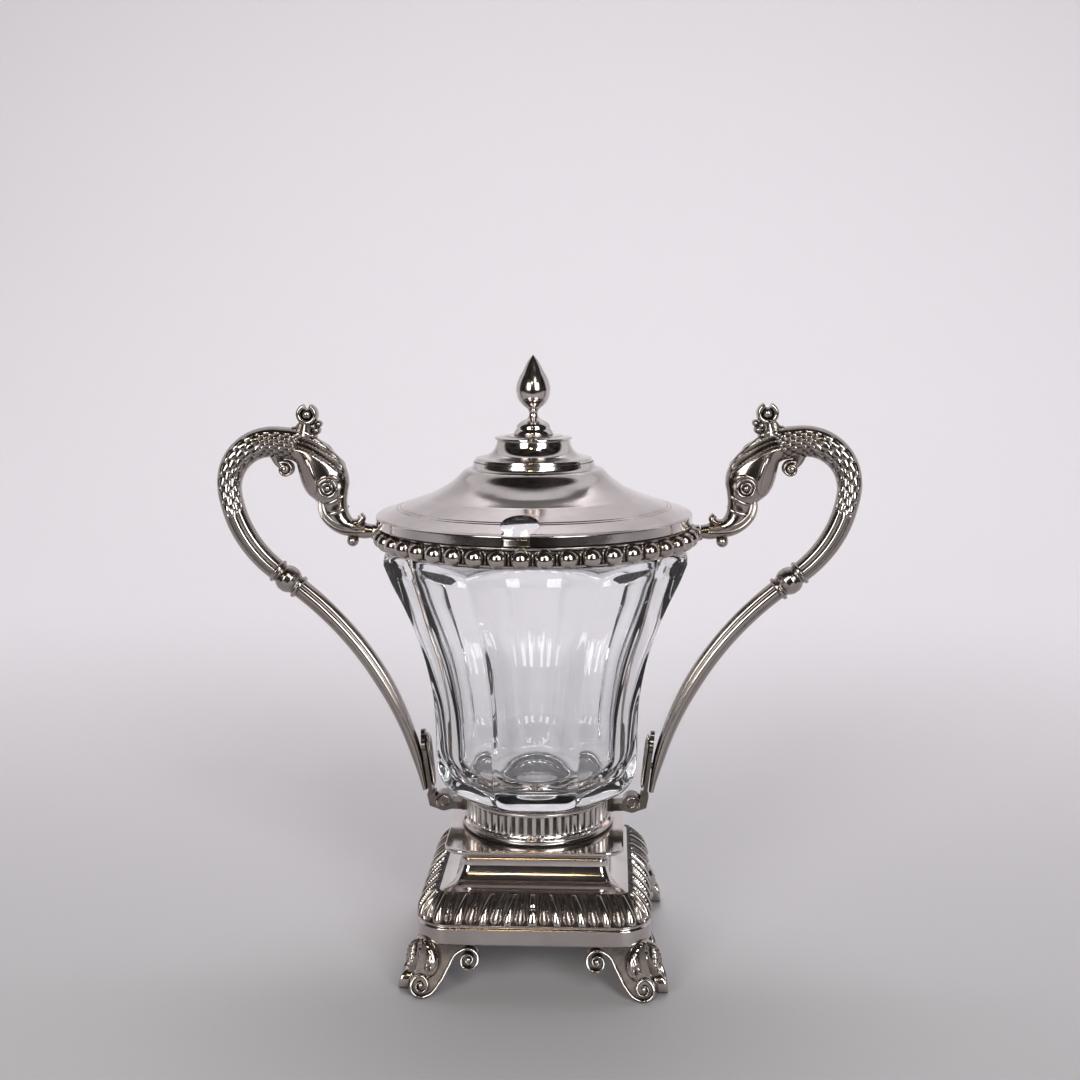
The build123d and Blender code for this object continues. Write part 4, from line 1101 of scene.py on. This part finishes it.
# the knop: ring, ball, ring, the same on both sides of its middle, on the handle's axis
knopSide = [
    (4.05, 0.9, 0.8), (3.6, 2.0, 0.6), (2.9, 3.0, 0.3), (3.75, 3.5, 0.3), (3.75, 4.2, 0.3),
    (3.3, 4.6, 0.3), (0, 4.6),
]
knopRows = filleted([(r, -z, *rest) for r, z, *rest in knopSide[::-1]] + knopSide, 0.2)
knop = scattered(
    turned(knopRows, 48), np.array([[knopMiddle[0], 0, knopMiddle[1]]]),
    np.array([[-knopWay[1], 0, knopWay[0]]]), np.array([[0, 1.0, 0]]),
    np.array([[knopWay[0], 0, knopWay[1]]]),
)
makePair("handleBar", bundle([bar, knop]), silverCast, 55, stands="handle_bar")
print("handles made")


# Brackets, screws and nuts stay CAD shapes, with a palmette laid on each bracket

# the brackets and screws take the silver painted dark as shadow
keptNodes = {
    "bracket_right": silverPaintedShadow, "bracket_left": silverPaintedShadow, "handle_screw_right": silverPaintedShadow,
    "handle_screw_left": silverPaintedShadow, "base_nut": silverOld, "finial_nut": silverOld,
}
for node, finish in keptNodes.items():
    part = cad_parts[node]
    part.data.materials.clear()
    part.data.materials.append(finish)

palmetteLook = {
    "fans": 5, "foot": (32.45, 48.0), "lean": 6.8, "tall": 16.6, "thick": 1.25,
    "scroll": (28.5, 45.4), "scrollRadius": (2.3, 0.6),
}
lean = math.radians(palmetteLook["lean"])
s = np.linspace(0, 1, 8)
palmette = []
for fan in np.linspace(-1, 1, palmetteLook["fans"]):
    height = 2.0 + palmetteLook["tall"] * s * (1 - 0.10 * fan**2)
    x = palmetteLook["foot"][0] + math.sin(lean) * height
    z = palmetteLook["foot"][1] + math.cos(lean) * height
    rib = np.column_stack([x, fan * (1.2 + 2.5 * s**1.6), z])
    palmette.append(wire(rib, 0.55, 30, 8, up=(1, 0, 0)))
    palmette.append(wire(rib - (palmetteLook["thick"], 0, 0), 0.5, 30, 8, up=(1, 0, 0)))
scroll = np.linspace(0, 2.6 * math.pi, 60) - 0.6
radius = np.linspace(*palmetteLook["scrollRadius"], 60)
scrollX = palmetteLook["scroll"][0] + radius * np.cos(scroll)
scrollZ = palmetteLook["scroll"][1] + radius * np.sin(scroll)
scrollPath = np.column_stack([scrollX, 0 * scroll, scrollZ])
scrollWide, scrollDeep = np.linspace(0.6, 0.4, 60), np.linspace(2.5, 2.4, 60)
palmette.append(tubeAlong(scrollPath, scrollWide, scrollDeep, 12, power=3))
makePair("palmette", bundle(palmette), silverOld, 60)


# Feet

footLook = {
    "face": 33.85, "strap": 0.46, "depth": 1.45, "upper": (18.3, 9.9), "upperRadius": 3.25,
    "lower": (31.6, 3.62), "lowerRadius": 3.24, "winds": 1.7, "web": 1.0, "ribs": 8,
    "shellAt": 9.2, "shellOut": 45.4,
}


# a volute's centre line: the radius shrinks evenly as the angle grows
def volute(middle, radius, fromAngle, winds, count=70):
    a = math.radians(fromAngle) + np.linspace(0, winds * turn, count)
    r = np.linspace(radius, 0.55, count)
    return np.column_stack([middle[0] + r * np.cos(a), middle[1] + r * np.sin(a)])


# how far the foot flares out of its wall at a height, by a cubic through six heights
def splay(z):
    flare = cubic([-1, 0.5, 3.5, 7.0, 10.5, 15.0], [4.9, 4.85, 4.3, 2.3, 0.6, 0.0], np.ravel(z))
    return flare.reshape(np.shape(z))


# (x, z) rows laid on the foot's flared front wall, some way behind its face
def onWall(rows, behind):
    return np.column_stack([rows[:, 0], behind - footLook["face"] - splay(rows[:, 1]), rows[:, 1]])


# one wing of the foot on the front wall: the strap runs out of the upper volute, down an S and
# into the lower one; a sunk web fills the corner above the strap
def footWing():
    upper = volute(footLook["upper"], footLook["upperRadius"], 60, footLook["winds"])
    lower = volute(footLook["lower"], footLook["lowerRadius"], -112, footLook["winds"])
    curve = [upper[0], (21.9, 11.35), (24.0, 8.1), (26.1, 4.6), (28.3, 1.75), lower[0]]
    line = np.vstack([upper[::-1], throughPoints(curve, 60)[1:-1], lower])
    fromEnd = np.minimum(np.arange(len(line)), np.arange(len(line))[::-1])
    thick = footLook["strap"] * np.clip(fromEnd / 50, 0.55, 1)
    strap = tubeAlong(onWall(line, footLook["depth"]), thick, footLook["depth"], 20, power=3.2)
    s = np.linspace(0, 1, 40)
    webKeys = [(19.2, 12.9), (21.9, 11.2), (24.0, 7.9), (26.1, 4.6), (28.3, 1.9), (31.6, 0.9)]
    low = throughPoints(webKeys, 40)
    highX = np.interp(s, [0, 0.55, 1], [19.2, 31.5, 34.4])
    highZ = np.interp(s, [0, 0.55, 0.8, 1], [14.0, 14.0, 8.0, 2.0])
    high = np.column_stack([highX, highZ])
    front = [onWall(low + (high - low) * share, footLook["web"]) for share in np.linspace(0, 1, 6)]
    back = [row + (0, 2.0, 0) for row in front[::-1]]
    # the sunk web is painted dark: shade and sulphide in the corner behind the strap
    web = grid(capped(np.stack(front + back, 1)), 0.85)
    eyes = []
    for x, z in (footLook["upper"], footLook["lower"]):
        eyes.append(ball((x, 0.9 - footLook["face"] - float(splay(z)), z), 0.85, 10, 14))
    return bundle([strap, web] + eyes)


# the shell on the corner: an egg outline r(a) swept from its middle out, domed, with ribs that
# fan up from the hinge and a raised edge; its back is flat
def footShell():
    a = np.arange(84)[None] * turn / 84
    front = np.linspace(0.0, 1, 30)
    u = np.concatenate([front, [1.0, 0.94, 0.5, 0.0]])[:, None]
    x = (6.3 - 0.5 * np.cos(a)) * np.sin(a) * u
    z = footLook["shellAt"] + 6.3 * np.cos(a) * u
    ribs = np.cos(np.arctan2(x, z - 2.0) * footLook["ribs"] * 1.6)
    inside = ease(u, 0.05, 0.25) * (1 - ease(u, 0.74, 0.84))
    crumple = 0.22 * np.sin(2.3 * x + 1.9 * z) * np.sin(2.6 * z - 1.4 * x)
    rolled = 0.75 * hump(u, 0.91, 0.06) * (1 + 0.25 * np.cos(a * 22))
    knob = 1.25 * hump(x, 0, 1.5) * hump(z, 5.6, 1.2)
    lift = 0.825 * arch(u) + inside * (0.55 * ribs + crumple) + rolled + knob
    lift[len(front):] = np.array([-1.0, -1.9, -1.9, -1.9])[:, None]
    # painted shade and sulphide between the ribs and in the crumple's hollows, kept off the knob
    dark = np.clip(inside * (0.45 - 0.75 * ribs - 2.0 * crumple) - 2 * knob, 0, 1)
    out = footLook["shellOut"] - (z - 8.0) * 0.17 + lift
    return grid(np.stack([(x + out) / math.sqrt(2), (x - out) / math.sqrt(2), z], -1), dark)


# the side wing is the front one seen in a mirror along the corner: x' = -y, y' = -x
wing = footWing()
sidePoints = wing["points"][:, [1, 0, 2]] * [-1, -1, 1]
sideWing = {**wing, "points": sidePoints, "faces": wing["faces"][:, ::-1]}
foot = bundle([wing, sideWing, footShell()])
for place, patch in (("Front", foot), ("Back", mirrored(foot, 1))):
    makePair("foot" + place, patch, silverOld, 60, stands="foot_" + place.lower())
print("feet made")


# Stage, lights and camera

stageLook = {
    "near": (0.42, 0.412, 0.425, 1), "far": (0.79, 0.765, 0.80, 1), "fade": (-0.12, 0.55),
    "front": -0.40, "wall": 1.25, "bend": 0.7, "wide": 1.15, "tall": 3.0,
}


# the paper runs level under the pot and bends up behind it in a quarter circle; it is painted greyer
# near the camera, a painted shade for the light falling off towards the front
def makeStage():
    a = np.linspace(0, math.pi / 2, 30)
    bend, wall = stageLook["bend"], stageLook["wall"]
    curve = np.column_stack([wall - bend + bend * np.sin(a), bend - bend * np.cos(a)])
    ground = [(stageLook["front"], 0.0), (-0.2, 0.0), (0.3, 0.0)]
    line = np.vstack([ground, curve, [(wall, stageLook["tall"])]])
    x = np.linspace(-stageLook["wide"], stageLook["wide"], 5)[None]
    points = np.stack([x + 0 * line[:, :1], line[:, :1] + 0 * x, line[:, 1:] + 0 * x], -1)
    patch = grid(points, closeColumns=False)
    mesh = bpy.data.meshes.new("backdrop")
    mesh.from_pydata(patch["points"].tolist(), [], patch["faces"][:, ::-1].tolist())
    mesh.shade_smooth()
    obj = bpy.data.objects.new("backdrop", mesh)
    bpy.context.scene.collection.objects.link(obj)
    obj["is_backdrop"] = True
    material, tree, shader = newMaterial("backdropPaper")
    split = addNode(tree, "SeparateXYZ", {0: (addNode(tree, "TexCoord"), "Object")}), "Y"
    # painted shade: the paper's colour darkens towards the camera
    depth = mapRange(tree, split, stageLook["fade"], kind="SMOOTHSTEP")
    tone = mixed(tree, depth, stageLook["near"], stageLook["far"])
    fillSockets(tree, shader, {"Base Color": tone, "Roughness": 0.6, "Specular IOR Level": 0.2})
    mesh.materials.append(material)


makeStage()
bpy.context.scene.view_settings.view_transform = "Standard"  # plain colours, as a camera jpeg has


# an upright rectangle of light at a place that looks at its aim
def areaLight(name, place, aim, size, power, color):
    data = bpy.data.lights.new(name, "AREA")
    data.shape = "RECTANGLE"
    data.size = size[0]
    data.size_y = size[1]
    data.energy = power
    data.color = color
    obj = bpy.data.objects.new(name, data)
    bpy.context.scene.collection.objects.link(obj)
    obj.location = place
    obj.rotation_mode = "QUATERNION"
    obj.rotation_quaternion = (Vector(aim) - Vector(place)).to_track_quat("-Z", "Y")
    obj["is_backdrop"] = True
    return obj


# two tall windows in front, left and right of the camera, give each curve its pair of streaks; a
# small warm lamp and a skylight hang above them, and a wide soft light fills from over the paper
pot = (0, 0, 0.1)
areaLight("windowLeft", (-0.80, -1.50, 0.62), pot, (0.62, 0.95), 15, (1.0, 0.985, 0.965))
areaLight("windowRight", (0.84, -1.48, 0.66), pot, (0.68, 1.0), 18, (0.98, 0.99, 1.0))
areaLight("skylight", (0.40, -1.10, 1.20), pot, (0.22, 0.14), 2.6, (1.0, 1.0, 1.0))
areaLight("lamp", (-0.12, -1.3, 1.05), pot, (0.16, 0.12), 1.2, (1.0, 0.74, 0.42))
overPaper = areaLight("overPaper", (0.0, 0.85, 2.0), (0, 0.75, 0), (2.0, 0.9), 26, (1.0, 0.99, 1.0))
overPaper.visible_glossy = False  # it lights the paper, and the silver mirrors the room instead

# the room: pale behind and overhead, dark in front with a little cloudy structure, and a middle
# tone where it is seen directly or through the glass
roomLook = {
    "dark": (0.014, 0.012, 0.011, 1), "mid": (0.060, 0.052, 0.048, 1),
    "pale": (0.80, 0.785, 0.81, 1), "glass": (0.54, 0.54, 0.58, 1),
    "cloud": 2.6, "strength": 0.9,
}
world = bpy.data.worlds.new("room")
world.use_nodes = True
bpy.context.scene.world = world
tree = world.node_tree
where = addNode(tree, "TexCoord"), "Generated"
backward = addNode(tree, "SeparateXYZ", {0: where}), "Y"
cloud = mapRange(tree, noise(tree, where, roomLook["cloud"], 2.0), (0.42, 0.66))
ray = addNode(tree, "LightPath")
seen = combined(tree, "MAXIMUM", (ray, "Is Transmission Ray"), (ray, "Is Camera Ray"))
front = mixed(tree, seen, mixed(tree, cloud, roomLook["dark"], roomLook["mid"]), roomLook["glass"])
behind = mapRange(tree, backward, (0.10, 0.26), kind="SMOOTHSTEP")
roomTone = mixed(tree, behind, front, roomLook["pale"])
fillSockets(tree, tree.nodes["Background"], {"Color": roomTone, "Strength": roomLook["strength"]})

# the camera stands in front, a little to the right and above, with a slight tilt about its axis
cameraLook = {
    "place": (0.02193, -0.39996, 0.18951), "aim": (0.0011, 0.00006, 0.12565),
    "lens": 45.78, "sensor": 36.0, "roll": -0.333,
}
cameraData = bpy.data.cameras.new("camera")
cameraData.lens = cameraLook["lens"]
cameraData.sensor_width = cameraLook["sensor"]
cameraData.clip_start = 0.01
camera = bpy.data.objects.new("camera", cameraData)
bpy.context.scene.collection.objects.link(camera)
forward = (Vector(cameraLook["aim"]) - Vector(cameraLook["place"])).normalized()
right = forward.cross(Vector((0, 0, 1))).normalized()
above = right.cross(forward)
roll = math.radians(cameraLook["roll"])
tiltedRight = right * math.cos(roll) + above * math.sin(roll)
tiltedAbove = above * math.cos(roll) - right * math.sin(roll)
axes = Matrix((tiltedRight, tiltedAbove, -forward)).transposed()
camera.matrix_world = Matrix.Translation(cameraLook["place"]) @ axes.to_4x4()
bpy.context.scene.camera = camera

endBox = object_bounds()
for name, box in (("frame", startBox), ("scene", endBox)):
    print("bounds mm", name, [[round(x / mm, 2) for x in corner] for corner in box])
